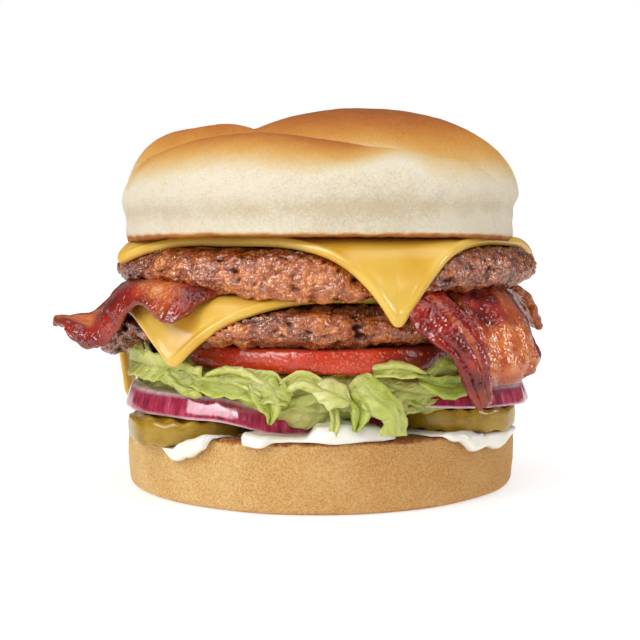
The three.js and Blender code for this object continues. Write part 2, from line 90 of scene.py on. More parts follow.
def srgb(red: float, green: float, blue: float) -> Colour:
    """A colour given on the 0 to 255 screen scale, as linear light.

    Args:
        red: Screen red.
        green: Screen green.
        blue: Screen blue.

    Returns:
        The linear red, green and blue.
    """

    def linear(value: float) -> float:
        """One channel as linear light."""
        share = value / 255
        return share / 12.92 if share <= 0.04045 else ((share + 0.055) / 1.055) ** 2.4

    return linear(red), linear(green), linear(blue)


def mix(low: Array | float, high: Array | float, share: Array | float) -> Array | float:
    """The value a share of the way from low to high."""
    return low + (high - low) * share


def smoothstep(value: Array | float, start: Array | float, end: Array | float) -> Array:
    """Rises smoothly from 0 at start to 1 at end."""
    t = np.clip((np.asarray(value, float) - start) / (end - start), 0, 1)
    return t * t * (3 - 2 * t)


def bell(gap: Array | float, width: float) -> Array:
    """A bump of height 1 where the gap is nothing."""
    return np.exp(-((gap / width) ** 2))


def circle(count: int) -> Array:
    """Angles evenly round a circle, as one row."""
    return np.linspace(0, TURN, count, endpoint=False)[None, :]


def unit(vectors: Array) -> Array:
    """Vectors of the same directions with length 1."""
    return vectors / np.maximum(np.linalg.norm(vectors, axis=-1, keepdims=True), 1e-9)


def smooth_max(a: Array, b: Array, blend: float) -> Array:
    """The larger of two heights, rounded where they cross."""
    share = np.clip(0.5 + (a - b) / (2 * blend), 0, 1)
    return mix(b, a, share) + blend * share * (1 - share)


def uneven(angle: Array, seed: float) -> Array:
    """A smooth uneven wave round a circle.

    Args:
        angle: Where to read it, in radians.
        seed: Shifts its parts against each other.

    Returns:
        Values between about -1 and 1.
    """
    return (
        np.sin(3 * angle + seed)
        + 0.8 * np.sin(5 * angle + 2.3 * seed)
        + 0.6 * np.sin(9 * angle + 4.1 * seed)
        + 0.5 * np.sin(14 * angle + 1.7 * seed)
    ) / 2.3


def lobe(angle: Array, heading: float, spread: float) -> Array:
    """A bump of height 1 round one heading, both in degrees."""
    away = np.arctan2(np.sin(angle - math.radians(heading)), np.cos(angle - math.radians(heading)))
    return bell(away, math.radians(spread))


class Grain:
    """Seeded three-dimensional noise, the same on every run."""

    TABLE = 4096
    PRIMES = (73856093, 19349663, 83492791)
    LAYER_SHIFT = 17.3

    def __init__(self, seed: int) -> None:
        """Fills the tables that the noise looks its values up in."""
        draw = np.random.default_rng(seed)
        self.values = draw.uniform(-1, 1, self.TABLE)
        self.offsets = draw.uniform(0, 1, (self.TABLE, 3))

    def _slot(self, cell: Array) -> Array:
        """The table entry of each whole-number cell."""
        x, y, z = (cell[..., axis].astype(np.int64) * prime for axis, prime in enumerate(self.PRIMES))
        return (x ^ y ^ z) % self.TABLE

    def value(self, points: Array, size: float | Sequence[float]) -> Array:
        """Smooth noise from -1 to 1.

        Args:
            points: Places, as an array whose last axis is x, y and z.
            size: Width of one bump, or one width for each axis.

        Returns:
            One number for each place.
        """
        scaled = points / np.asarray(size, float)
        base = np.floor(scaled)
        part = scaled - base
        part = part * part * (3 - 2 * part)
        total = np.zeros(points.shape[:-1])
        for corner in np.ndindex(2, 2, 2):
            weight = np.ones(points.shape[:-1])
            for axis, high in enumerate(corner):
                weight = weight * (part[..., axis] if high else 1 - part[..., axis])
            total += weight * self.values[self._slot(base + np.array(corner))]
        return total

    def layered(self, points: Array, size: float | Sequence[float], layers: int = 4, fade: float = 0.5) -> Array:
        """Adds finer and fainter layers of noise.

        Args:
            points: Places, as an array whose last axis is x, y and z.
            size: Width of the widest bumps.
            layers: How many times the width is halved.
            fade: Strength of each layer against the one before.

        Returns:
            One number from about -1 to 1 for each place.
        """
        total, strength, reach = np.zeros(points.shape[:-1]), 1.0, 0.0
        width = np.asarray(size, float)
        for layer in range(layers):
            total += strength * self.value(points + self.LAYER_SHIFT * layer, width)
            reach += strength
            strength *= fade
            width = width / 2
        return total / reach

    def crumbs(self, points: Array, size: float) -> tuple[Array, Array, Array]:
        """Splits space into crumbs round scattered middles.

        Args:
            points: Places, as an array whose last axis is x, y and z.
            size: Width of one crumb.

        Returns:
            The distance to the nearest middle, the distance left to the crumb's edge, and a number for each crumb.
        """
        scaled = points / size
        base = np.floor(scaled)
        first = np.full(points.shape[:-1], 9.0)
        second = first.copy()
        owner = np.zeros(points.shape[:-1])
        for step in np.ndindex(3, 3, 3):
            cell = base + np.array(step) - 1
            slot = self._slot(cell)
            gap = np.linalg.norm(cell + self.offsets[slot] - scaled, axis=-1)
            closer = gap < first
            second = np.where(closer, first, np.minimum(second, gap))
            owner = np.where(closer, self.values[slot], owner)
            first = np.where(closer, gap, first)
        return first, second - first, owner


# ---------- meshes ----------


def set_up(name: str, data: bpy.types.ID) -> Piece:
    """Puts a mesh, a light or a camera into the scene.

    Args:
        name: The new object's name.
        data: What it shows.

    Returns:
        The object.
    """
    holder = bpy.data.objects.new(name, data)
    bpy.context.scene.collection.objects.link(holder)
    return holder


@dataclass
class Skin:
    """Points and faces of one mesh in millimetres, with values painted at its points."""

    points: Array
    faces: Array
    paint: dict[str, Array] = field(default_factory=dict)

    def normals(self) -> Array:
        """Finds the outward directions.

        Returns:
            One direction for each point.
        """
        corners = self.points[self.faces]
        across = np.cross(corners[:, 2] - corners[:, 0], corners[:, 3 % self.faces.shape[1]] - corners[:, 1])
        total = np.zeros_like(self.points)
        for corner in range(self.faces.shape[1]):
            np.add.at(total, self.faces[:, corner], across)
        return unit(total)

    def push(self, distance: Array | float) -> None:
        """Moves every point along its own outward direction."""
        self.points = self.points + self.normals() * np.reshape(distance, (-1, 1))

    def build(self, name: str, material: Material) -> Piece:
        """Makes the Blender object.

        Args:
            name: The piece's name.
            material: Its finish.

        Returns:
            The object, linked to the scene.
        """
        mesh = bpy.data.meshes.new(name)
        mesh.from_pydata((self.points * MM).tolist(), [], tidy_faces(self.faces))
        mesh.validate(clean_customdata=False)
        mesh.shade_smooth()
        for label, values in self.paint.items():
            layer = mesh.attributes.new(label, "FLOAT", "POINT")
            layer.data.foreach_set("value", np.asarray(values, np.float32))
        mesh.materials.append(material)
        return set_up(name, mesh)

    def fit(self, name: str, material: Material, slot: Slot, *nodes: str) -> Piece:
        """Makes a piece of the burger, which rides on its one body.

        Args:
            name: The piece's name.
            material: Its finish.
            slot: Its slot in the frame; not used.
            nodes: The frame's solids that it stands in for.

        Returns:
            The finished piece.
        """
        piece = self.build(name, material)
        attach(piece, BODY)
        if nodes:
            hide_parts(*nodes)
        return piece


def gather(skins: Sequence[Skin]) -> Skin:
    """One skin from several that carry the same paint.

    Args:
        skins: The skins, which stay apart in the new one.

    Returns:
        The skin of them all.
    """
    starts = np.cumsum([0, *(len(skin.points) for skin in skins[:-1])])
    return Skin(
        np.concatenate([skin.points for skin in skins]),
        np.concatenate([skin.faces + start for skin, start in zip(skins, starts)]),
        {name: np.concatenate([skin.paint[name] for skin in skins]) for name in skins[0].paint},
    )


def grid_faces(rows: int, columns: int, wrap_rows: bool, wrap_columns: bool) -> Array:
    """Four-sided faces over a grid of points.

    Args:
        rows: Points down the grid.
        columns: Points across it.
        wrap_rows: Whether the last row joins the first.
        wrap_columns: Whether the last column joins the first.

    Returns:
        One line of four point numbers for each face.
    """
    row = np.arange(rows if wrap_rows else rows - 1)[:, None]
    column = np.arange(columns if wrap_columns else columns - 1)[None, :]
    below, beside = (row + 1) % rows, (column + 1) % columns
    corners = [row * columns + column, row * columns + beside, below * columns + beside, below * columns + column]
    return np.stack([np.broadcast_to(c, (row.size, column.size)) for c in corners], -1).reshape(-1, 4)


def ring_skin(rings: Array, ends: bool = True) -> Skin:
    """A closed skin over a stack of rings, counted anticlockwise from above and going up the outside.

    Args:
        rings: Points as rings, points round a ring, and x, y and z.
        ends: True fans the two ends shut, False joins the last ring to the first.

    Returns:
        The skin.
    """
    count, around = rings.shape[:2]
    faces = grid_faces(count, around, not ends, True)
    points = rings.reshape(-1, 3)
    if ends:
        bottom, top = len(points), len(points) + 1
        points = np.concatenate([points, rings[:1].mean(1), rings[-1:].mean(1)])
        here = np.arange(around)
        beside = (here + 1) % around
        base = (count - 1) * around
        low = np.stack([np.full(around, bottom), beside, here, here], -1)
        high = np.stack([np.full(around, top), base + here, base + beside, base + beside], -1)
        faces = np.concatenate([faces, low, high])
    return Skin(points, faces)


def round_axis(reach: Array, angle: Array, z: Array, x: float = 0.0, y: float = 0.0) -> Array:
    """Rings of points round an upright axis.

    Args:
        reach: How far each point lies from the axis.
        angle: Its heading.
        z: Its height.
        x: Where the axis stands, to the right.
        y: Where it stands, to the back.

    Returns:
        The points as rings, points round a ring, and x, y and z.
    """
    return np.stack([x + reach * np.cos(angle), y + reach * np.sin(angle), np.broadcast_to(z, reach.shape)], -1)


def disc_section(side: Array, lower: Array, upper: Array, low: float, high: float) -> Array:
    """The section of a flat round piece: out along its lower face, up its side and back over its top.

    Args:
        side: The side's points, as radius and height.
        lower: Radii on the lower face, from the middle out.
        upper: Radii on the top, from the side in.
        low: The height of the lower face.
        high: The height of the top.

    Returns:
        The points, as radius and height.
    """
    bottom = np.stack([lower, np.full(len(lower), low)], -1)
    return np.concatenate([bottom, side, np.stack([upper, np.full(len(upper), high)], -1)])


def each_point(values: Array, around: int, bottom: float = 0, top: float = 0) -> Array:
    """Spreads one value for each ring over the points of a ring skin, whose two ends have values of their own."""
    return np.append(np.repeat(values, around), [bottom, top])


def tidy_faces(faces: Array) -> list[list[int]]:
    """Drops a face's doubled last corner."""
    return [list(dict.fromkeys(face)) for face in faces.tolist()]


def sheet_skin(middle: Array, thickness: Array | float, lip: int = 3) -> Skin:
    """A thin closed skin over a grid of points, with a rounded edge all round.

    Args:
        middle: The middle surface, as rows, columns, and x, y and z.
        thickness: Its thickness, even or at each point.
        lip: How many rows of points round the edge off.

    Returns:
        The skin, painted with "u" and "v", the shares along its columns and rows.
    """
    rows, columns = middle.shape[:2]
    along = np.gradient(middle, axis=1)
    down = np.gradient(middle, axis=0)
    normal = unit(np.cross(along, down))
    half = np.broadcast_to(np.asarray(thickness, float) / 2, (rows, columns))
    row, column = np.arange(rows)[:, None], np.arange(columns)[None]
    to_edge = np.minimum(np.minimum(row, row[::-1]), np.minimum(column, column[:, ::-1]))
    round_off = np.sqrt(np.clip(1 - (1 - np.minimum(to_edge, lip) / lip) ** 2, 0, 1))
    half = half * np.maximum(round_off, 0.12)
    upper = middle + normal * half[..., None]
    under = middle - normal * half[..., None]
    total = rows * columns
    top = grid_faces(rows, columns, False, False)
    rim = np.concatenate(
        [
            np.arange(columns - 1),
            np.arange(rows - 1) * columns + columns - 1,
            (rows - 1) * columns + np.arange(columns - 1, 0, -1),
            np.arange(rows - 1, 0, -1) * columns,
        ]
    )
    beside = np.roll(rim, -1)
    wall = np.stack([beside, rim, rim + total, beside + total], -1)
    share = np.broadcast_to(np.linspace(0, 1, columns)[None], (rows, columns)).ravel()
    depth = np.broadcast_to(np.linspace(0, 1, rows)[:, None], (rows, columns)).ravel()
    return Skin(
        np.concatenate([upper.reshape(-1, 3), under.reshape(-1, 3)]),
        np.concatenate([top, top[:, ::-1] + total, wall]),
        {"u": np.tile(share, 2), "v": np.tile(depth, 2)},
    )


def spline(knots: Array, stops: Array) -> Array:
    """A smooth curve through knots.

    Args:
        knots: The places that the curve passes, which may be whole lines of points.
        stops: Where to read the curve, counted in knots from the first.

    Returns:
        The curve at each stop.
    """
    padded = np.concatenate([2 * knots[:1] - knots[1:2], knots, 2 * knots[-1:] - knots[-2:-1]])
    first = np.clip(np.floor(stops).astype(int), 0, len(knots) - 2)
    t = (stops - first).reshape(-1, *[1] * (knots.ndim - 1))
    a, b, c, d = (padded[first + k] for k in range(4))
    return 0.5 * (2 * b + (c - a) * t + (2 * a - 5 * b + 4 * c - d) * t**2 + (3 * b - 3 * c + d - a) * t**3)


def curve_through(knots: Sequence[Sequence[float]], count: int) -> Array:
    """Evenly spaced points on a smooth curve through some knots.

    Args:
        knots: The places that the curve passes.
        count: How many points to return.

    Returns:
        The points, one line each.
    """
    last = len(knots) - 1
    fine = spline(np.asarray(knots, float), np.linspace(0, last, 40 * last + 1))
    length = np.concatenate([[0], np.cumsum(np.linalg.norm(np.diff(fine, axis=0), axis=1))])
    wanted = np.linspace(0, length[-1], count)
    return np.stack([np.interp(wanted, length, fine[:, axis]) for axis in range(fine.shape[1])], -1)


def round_table(table: Sequence[tuple[float, float]], angle: Array) -> Array:
    """Reads a table of values at headings all the way round, smoothly between them.

    Args:
        table: Headings in degrees from 0 up to 360, each with its value.
        angle: Where to read it, in radians.

    Returns:
        One value for each angle.
    """
    headings, values = np.array(table).T
    degrees = np.degrees(angle) % 360
    first = np.clip(np.searchsorted(headings, degrees, side="right") - 1, 0, len(headings) - 2)
    share = smoothstep((degrees - headings[first]) / (headings[first + 1] - headings[first]), 0, 1)
    return mix(values[first], values[first + 1], share)


# ---------- finishes ----------


class Wiring:
    """A node tree under construction."""

    def __init__(self, tree: bpy.types.NodeTree) -> None:
        """Takes the tree to add nodes to."""
        self.tree = tree

    def feed(self, target: Socket, value: float | Colour | Socket) -> None:
        """Sets or links an input.

        Args:
            target: The input.
            value: A number, a colour, a vector or another node's output.
        """
        if isinstance(value, Socket):
            self.tree.links.new(value, target)
        else:
            target.default_value = (*value, 1) if target.type == "RGBA" else value

    def node(self, kind: str, output: str, **inputs: float | Colour | Socket) -> Socket:
        """Adds a node.

        Args:
            kind: The node's type, without its first word.
            output: The output that is wanted.
            inputs: Values for its inputs, with underscores for spaces.

        Returns:
            The output.
        """
        made = self.tree.nodes.new("ShaderNode" + kind)
        for label, value in inputs.items():
            self.feed(made.inputs[label.replace("_", " ")], value)
        return made.outputs[output]


class Shader(Wiring):
    """One material under construction, with short calls for what the finishes share."""

    def __init__(self, name: str, **sockets: float | Colour) -> None:
        """Starts a material.

        Args:
            name: The material's name.
            sockets: Values for the shader's own inputs, with underscores for spaces.
        """
        self.material = bpy.data.materials.new(name)
        self.material.use_nodes = True
        super().__init__(self.material.node_tree)
        for label, value in sockets.items():
            self.set(label.replace("_", " "), value)

    def set(self, socket: str, value: float | Colour | Socket) -> None:
        """Sets one of the shader's own inputs."""
        self.feed(self.tree.nodes["Principled BSDF"].inputs[socket], value)

    def glow_through(self, weight: float, red: float, green: float, blue: float) -> None:
        """Lets light into the surface.

        Args:
            weight: How much of the light goes in.
            red: How far red light travels, in millimetres.
            green: How far green light travels.
            blue: How far blue light travels.
        """
        self.set("Subsurface Weight", weight)
        self.set("Subsurface Radius", (red * MM, green * MM, blue * MM))
        self.set("Subsurface Scale", 1.0)

    def place(self, stretch: Place = (1, 1, 1)) -> Socket:
        """Object coordinates in millimetres, scaled along each axis."""
        scale = tuple(part / MM for part in stretch)
        return self.node("Mapping", "Vector", Vector=self.node("TexCoord", "Object"), Scale=scale)

    def noise(self, width: float, detail: float = 3, rough: float = 0.55, stretch: Place = (1, 1, 1)) -> Socket:
        """Cloudy noise.

        Args:
            width: Width of its widest bumps in millimetres.
            detail: How many finer layers it has.
            rough: Strength of each finer layer.
            stretch: Scale along each axis.

        Returns:
            A value round 0.5.
        """
        place = self.place(stretch)
        return self.node("TexNoise", "Fac", Vector=place, Scale=1 / width, Detail=detail, Roughness=rough)

    def cells(self, width: float) -> Socket:
        """Distance from scattered middles, in cells so many millimetres wide."""
        return self.node("TexVoronoi", "Distance", Vector=self.place(), Scale=1 / width)

    def paint(self, name: str) -> Socket:
        """Reads values painted on the mesh.

        Args:
            name: What they are painted as.

        Returns:
            The values.
        """
        made = self.tree.nodes.new("ShaderNodeAttribute")
        made.attribute_type, made.attribute_name = "GEOMETRY", name
        return made.outputs["Fac"]

    def ramp(self, share: Socket, stops: Sequence[tuple[float, Colour]]) -> Socket:
        """Colours that follow a value.

        Args:
            share: The value.
            stops: Places along the ramp, each with its colour.

        Returns:
            The colour.
        """
        made = self.tree.nodes.new("ShaderNodeValToRGB")
        self.feed(made.inputs["Fac"], share)
        band = made.color_ramp.elements
        for element, (position, colour) in zip(band, (stops[0], stops[-1])):
            element.position, element.color = position, (*colour, 1)
        for position, colour in stops[1:-1]:
            band.new(position).color = (*colour, 1)
        return made.outputs["Color"]

    def span(self, value: Socket, start: float, end: float, low: float = 0, high: float = 1) -> Socket:
        """Maps one range of a value to another, held at both ends.

        Args:
            value: The value.
            start: Where the range starts.
            end: Where it ends.
            low: The result at its start.
            high: The result at its end.

        Returns:
            The mapped value.
        """
        return self.node("MapRange", "Result", Value=value, From_Min=start, From_Max=end, To_Min=low, To_Max=high)

    def sum(self, *terms: tuple[Socket, float]) -> Socket:
        """Adds values, each times its own weight.

        Args:
            terms: Each value with its weight.

        Returns:
            The total.
        """
        total: Socket | float = 0.0
        for value, weight in terms:
            made = self.tree.nodes.new("ShaderNodeMath")
            made.operation = "MULTIPLY_ADD"
            for target, given in zip(made.inputs, (value, weight, total)):
                self.feed(target, given)
            total = made.outputs[0]
        return total

    def blend(self, share: Socket, low: Colour | Socket, high: Colour | Socket) -> Socket:
        """Mixes two colours.

        Args:
            share: How much of the second shows.
            low: The first colour.
            high: The second colour.

        Returns:
            The mixed colour.
        """
        made = self.tree.nodes.new("ShaderNodeMix")
        made.data_type = "RGBA"
        made.clamp_factor = True
        self.feed(made.inputs[0], share)
        colours = [item for item in made.inputs if item.type == "RGBA"]
        for target, value in zip(colours, (low, high)):
            self.feed(target, value)
        return next(item for item in made.outputs if item.type == "RGBA")

    def relief(self, height: Socket, depth: float, strength: float = 1.0) -> None:
        """Adds fine relief.

        Args:
            height: The relief, from 0 to 1.
            depth: How deep it is, in millimetres.
            strength: How much of it shows.
        """
        self.set("Normal", self.node("Bump", "Normal", Strength=strength, Distance=depth * MM, Height=height))


@dataclass(frozen=True)
class Crust:
    """The crown's skin: floury white sides that turn gold and then brown on top."""

    pale: Colour = srgb(234, 223, 200)
    warm: Colour = srgb(224, 198, 150)
    gold: Colour = srgb(216, 165, 88)
    amber: Colour = srgb(204, 138, 54)
    brown: Colour = srgb(178, 100, 28)
    dark: Colour = srgb(140, 70, 16)
    floured: Colour = srgb(208, 188, 152)
    toasted: Colour = srgb(150, 72, 16)

    def make(self) -> Material:
        """Builds the material.

        Returns:
            The finished material.
        """
        skin = Shader("crown_crust", Roughness=0.6, Specular_IOR_Level=0.2)
        # This paint holds the browning and a painted shade line along the main crease.
        browning = skin.sum((skin.paint("bake"), 1.0), (skin.noise(9, 4), 0.12), (skin.noise(0.8, 4, 0.7), 0.26))
        stops = [(0.0, self.pale), (0.2, self.warm), (0.42, self.gold), (0.62, self.amber), (0.82, self.brown)]
        shade = skin.ramp(skin.span(browning, 0.19, 1.19), [*stops, (1.0, self.dark)])
        fine = skin.noise(0.6, 3, 0.7)
        # The waist paint lays more of the darker floured mottle along the waist groove, as painted shade.
        patchy = skin.sum(
            (skin.noise(5, 4, 0.7), 1.1), (fine, 1.7), (skin.paint("waist"), 0.42), (skin.paint("bake"), -0.9)
        )
        mottled = skin.blend(skin.span(patchy, 1.36, 2.1, 0, 0.8), shade, self.floured)
        browned = skin.blend(skin.span(skin.paint("toast"), 0, 0.5), mottled, self.amber)
        skin.set("Base Color", skin.blend(skin.span(skin.paint("toast"), 0.35, 1), browned, self.toasted))
        skin.glow_through(0.1, 3.0, 1.6, 0.8)
        skin.relief(skin.sum((fine, 0.6), (skin.noise(1.6, 3), 0.4)), 0.9, 1.0)
        return skin.material


@dataclass(frozen=True)
class Crumb:
    """The heel's fine porous side, darker where its cut edge is toasted, with painted shade towards its right."""

    pale: Colour = srgb(252, 218, 156)
    tan: Colour = srgb(240, 190, 116)
    dark: Colour = srgb(200, 136, 64)
    # Brown of the pits, and of the painted shade on the right side.
    browned: Colour = srgb(184, 110, 40)
    toasted: Colour = srgb(164, 78, 22)

    def make(self) -> Material:
        """Builds the material.

        Returns:
            The finished material.
        """
        skin = Shader("heel_crumb", Roughness=0.78, Specular_IOR_Level=0.2)
        pores = skin.cells(0.55)
        tone = skin.sum((skin.noise(11, 2), 0.3), (skin.noise(0.32, 2, 0.7), 0.6), (pores, 0.36))
        crumb = skin.ramp(tone, [(0.36, self.dark), (0.58, self.tan), (0.82, self.pale)])
        pitted = skin.blend(skin.span(skin.cells(1.15), 0.1, 0.2, 0.55, 0), crumb, self.browned)
        # Painted shade: the side turns browner towards the right, away from the key light.
        shade = skin.blend(skin.paint("browned"), pitted, self.browned)
        speckled = skin.sum((skin.paint("toast"), 1.0), (skin.noise(0.9, 3, 0.8), 0.9))
        skin.set("Base Color", skin.blend(skin.span(speckled, 0.75, 1.25), shade, self.toasted))
        skin.glow_through(0.1, 3.0, 1.5, 0.8)
        skin.relief(skin.sum((skin.noise(0.35, 3, 0.8), 0.6), (pores, 0.6)), 0.7, 1.0)
        return skin.material


@dataclass(frozen=True)
class SearedBeef:
    """Seared ground beef: dark crumbs, paler fat and a wet shine, with painted glints and painted shade in its
    crevices.
    """

    scorched: Colour = srgb(58, 16, 6)
    dark: Colour = srgb(110, 42, 14)
    brown: Colour = srgb(150, 66, 18)
    light: Colour = srgb(192, 100, 28)
    fat: Colour = srgb(226, 150, 72)
    grey: Colour = srgb(150, 96, 68)
    # Near black, painted into the crevices as shade.
    hollow: Colour = srgb(30, 8, 3)
    glint: Colour = srgb(255, 204, 146)

    def make(self) -> Material:
        """Builds the material.

        Returns:
            The finished material.
        """
        skin = Shader("seared_beef")
        skin.set("Specular IOR Level", skin.span(skin.paint("hollow"), 0, 0.8, 0.85, 0.05))
        tone = skin.sum((skin.paint("crumb"), 0.75), (skin.noise(1.8, 4, 0.7), 0.4), (skin.noise(0.5, 4, 0.7), 0.45))
        stops = [(0.0, self.scorched), (0.28, self.dark), (0.5, self.brown), (0.74, self.light), (1.0, self.fat)]
        shade = skin.ramp(skin.span(tone, 0.42, 1.16), stops)
        greyed = skin.blend(skin.span(skin.paint("grey"), 0, 1, 0, 0.55), shade, self.grey)
        # Painted highlights: bright glint specks mixed into the colour, fewer in the crevices.
        specks = skin.sum(
            (skin.noise(0.34, 1, 0.5, (1, 1, 0.5)), 1.0), (skin.noise(3, 2), 0.3), (skin.paint("hollow"), -0.3)
        )
        greasy = skin.blend(skin.span(specks, 0.76, 0.86, 0, 0.7), greyed, self.glint)
        # Painted shade: the crevices go near black.
        skin.set("Base Color", skin.blend(skin.paint("hollow"), greasy, self.hollow))
        skin.set("Roughness", skin.span(skin.noise(1.4, 2), 0.4, 0.62, 0.08, 0.36))
        skin.glow_through(0.05, 2.0, 0.8, 0.4)
        fibres = skin.noise(1.3, 1, 0.5, (0.45, 0.45, 1.0))
        skin.relief(skin.sum((fibres, 0.6), (skin.noise(0.7, 1), 0.35)), 1.0, 1.0)
        return skin.material


@dataclass(frozen=True)
class MeltedCheese:
    """Smooth processed cheese, a little see-through at its edges."""

    deep: Colour = srgb(216, 165, 48)
    light: Colour = srgb(234, 194, 88)

    def make(self) -> Material:
        """Builds the material.

        Returns:
            The finished material.
        """
        skin = Shader("melted_cheese", Roughness=0.22, Specular_IOR_Level=0.5)
        skin.set("Base Color", skin.blend(skin.span(skin.noise(16, 2), 0.3, 0.7), self.deep, self.light))
        skin.glow_through(0.3, 3.0, 2.0, 0.6)
        skin.relief(skin.noise(2.8, 2), 0.12, 0.5)
        return skin.material


@dataclass(frozen=True)
class FriedBacon:
    """Fried bacon: dark red lean, amber fat and a greasy shine."""

    char: Colour = srgb(84, 8, 4)
    lean: Colour = srgb(134, 20, 10)
    rosy: Colour = srgb(172, 52, 26)
    amber: Colour = srgb(178, 64, 16)
    fat: Colour = srgb(208, 110, 44)
    cream: Colour = srgb(236, 180, 112)
    crisp: Colour = srgb(136, 58, 22)

    def make(self) -> Material:
        """Builds the material.

        Returns:
            The finished material.
        """
        skin = Shader("fried_bacon", Specular_IOR_Level=0.6)
        lean = skin.ramp(skin.noise(6, 3, 0.5), [(0.3, self.char), (0.5, self.lean), (0.72, self.rosy)])
        fat = skin.ramp(skin.noise(3.5, 4, 0.6), [(0.3, self.amber), (0.55, self.fat), (0.78, self.cream)])
        meat = skin.blend(skin.paint("fat"), lean, fat)
        skin.set("Base Color", skin.blend(skin.span(skin.paint("crisp"), 0, 1, 0, 0.7), meat, self.crisp))
        skin.set("Roughness", skin.span(skin.noise(1.2, 2), 0.35, 0.65, 0.07, 0.2))
        skin.glow_through(0.1, 3.0, 0.8, 0.3)
        skin.relief(skin.sum((skin.noise(1.7, 1), 0.7), (skin.noise(0.7, 0), 0.3)), 0.65, 1.0)
        return skin.material


@dataclass(frozen=True)
class RipeTomato:
    """A tomato slice: wet red skin and paler cut faces."""

    deep: Colour = srgb(186, 34, 12)
    red: Colour = srgb(212, 60, 22)
    light: Colour = srgb(226, 104, 58)
    flesh: Colour = srgb(226, 120, 92)
    shadow: Colour = srgb(96, 18, 8)

    def make(self) -> Material:
        """Builds the material.

        Returns:
            The finished material.
        """
        skin = Shader("ripe_tomato", Roughness=0.24, Specular_IOR_Level=0.6)
        tone = skin.sum((skin.noise(11, 3), 0.7), (skin.noise(0.45, 2), 0.3))
        shade = skin.ramp(tone, [(0.32, self.deep), (0.55, self.red), (0.75, self.light)])
        shaded = skin.blend(skin.paint("dim"), shade, self.shadow)
        skin.set("Base Color", skin.blend(skin.paint("cut"), shaded, self.flesh))
        skin.glow_through(0.2, 4.0, 1.0, 0.6)
        skin.relief(skin.sum((skin.noise(0.9, 1), 0.5), (skin.cells(1.1), 0.5)), 0.25, 0.8)
        return skin.material


@dataclass(frozen=True)
class CrispLeaf:
    """Crisp lettuce, from yellow-white rib to green blade, with painted shade along its veins."""

    rib: Colour = srgb(234, 230, 180)
    light: Colour = srgb(206, 206, 114)
    green: Colour = srgb(166, 180, 64)
    deep: Colour = srgb(118, 144, 42)
    shadow: Colour = srgb(150, 152, 72)

    def make(self) -> Material:
        """Builds the material.

        Returns:
            The finished material.
        """
        skin = Shader("crisp_leaf", Roughness=0.4, Specular_IOR_Level=0.5)
        tone = skin.span(skin.sum((skin.paint("green"), 0.8), (skin.noise(3.5, 4), 0.35)), 0.1, 1.0)
        shade = skin.ramp(tone, [(0.0, self.rib), (0.35, self.light), (0.68, self.green), (1.0, self.deep)])
        # Painted shade along the veins and folds.
        skin.set("Base Color", skin.blend(skin.span(skin.paint("vein"), 0, 1, 0, 0.4), shade, self.shadow))
        skin.glow_through(0.3, 1.5, 2.0, 0.6)
        skin.relief(skin.sum((skin.noise(0.9, 3), 0.6), (skin.paint("vein"), -0.8)), 0.6, 0.9)
        return skin.material


@dataclass(frozen=True)
class RedOnion:
    """Red onion: magenta skin with upright streaks, and pale cut faces."""

    dark: Colour = srgb(118, 14, 44)
    magenta: Colour = srgb(172, 32, 66)
    pink: Colour = srgb(200, 76, 106)
    pale: Colour = srgb(226, 160, 184)
    flesh: Colour = srgb(240, 224, 226)
    blush: Colour = srgb(214, 170, 186)

    def make(self) -> Material:
        """Builds the material.

        Returns:
            The finished material.
        """
        skin = Shader("red_onion", Specular_IOR_Level=1.0)
        streaks = skin.noise(2.0, 4, 0.6, (1, 1, 0.12))
        stops = [(0.3, self.dark), (0.5, self.magenta), (0.66, self.pink), (0.8, self.pale)]
        cut = skin.ramp(skin.noise(3, 3), [(0.3, self.blush), (0.7, self.flesh)])
        skin.set("Base Color", skin.blend(skin.paint("cut"), skin.ramp(streaks, stops), cut))
        skin.set("Roughness", skin.span(streaks, 0.3, 0.7, 0.12, 0.2))
        skin.set("Specular Tint", (1.0, 0.86, 0.92))
        skin.glow_through(0.15, 2.0, 1.0, 1.0)
        skin.relief(skin.noise(1.1, 3, 0.5, (1, 1, 0.1)), 0.12, 0.4)
        return skin.material


@dataclass(frozen=True)
class SourPickle:
    """Wet olive pickle, darker at its skin."""

    dark: Colour = srgb(150, 112, 12)
    olive: Colour = srgb(198, 156, 24)
    light: Colour = srgb(216, 180, 62)
    rind: Colour = srgb(138, 104, 10)

    def make(self) -> Material:
        """Builds the material.

        Returns:
            The finished material.
        """
        skin = Shader("sour_pickle", Roughness=0.2, Specular_IOR_Level=0.45)
        tone = skin.sum((skin.noise(4.5, 3), 0.7), (skin.noise(0.7, 3), 0.3))
        flesh = skin.ramp(tone, [(0.36, self.dark), (0.5, self.olive), (0.64, self.light)])
        skin.set("Base Color", skin.blend(skin.paint("rind"), flesh, self.rind))
        skin.glow_through(0.25, 2.0, 2.0, 0.5)
        skin.relief(skin.noise(1.2, 3), 0.2, 0.5)
        return skin.material


@dataclass(frozen=True)
class WhiteSauce:
    """Thick mayonnaise with a soft gloss."""

    white: Colour = srgb(244, 242, 233)
    cream: Colour = srgb(238, 233, 217)

    def make(self) -> Material:
        """Builds the material.

        Returns:
            The finished material.
        """
        skin = Shader("white_sauce", Roughness=0.22, Specular_IOR_Level=0.5)
        skin.set("Base Color", skin.blend(skin.span(skin.noise(6, 2), 0.35, 0.65), self.white, self.cream))
        skin.glow_through(0.35, 2.0, 1.6, 1.2)
        skin.relief(skin.noise(2.5, 2), 0.15, 0.4)
        return skin.material


@dataclass(frozen=True)
class WaterBead:
    """Beads of water, tinted pale orange: partly the tomato seen through them, partly painted sparkle."""

    # Pale orange painted into the beads as sparkle and as the tomato's light through them.
    tint: Colour = srgb(236, 104, 66)
    bending: float = 1.33

    def make(self) -> Material:
        """Builds the material.

        Returns:
            The finished material.
        """
        bead = Shader("water_bead", Roughness=0.03, Base_Color=self.tint, IOR=self.bending)
        bead.set("Transmission Weight", 0.4)
        bead.set("Specular IOR Level", 1.0)
        return bead.material


# ---------- bread ----------


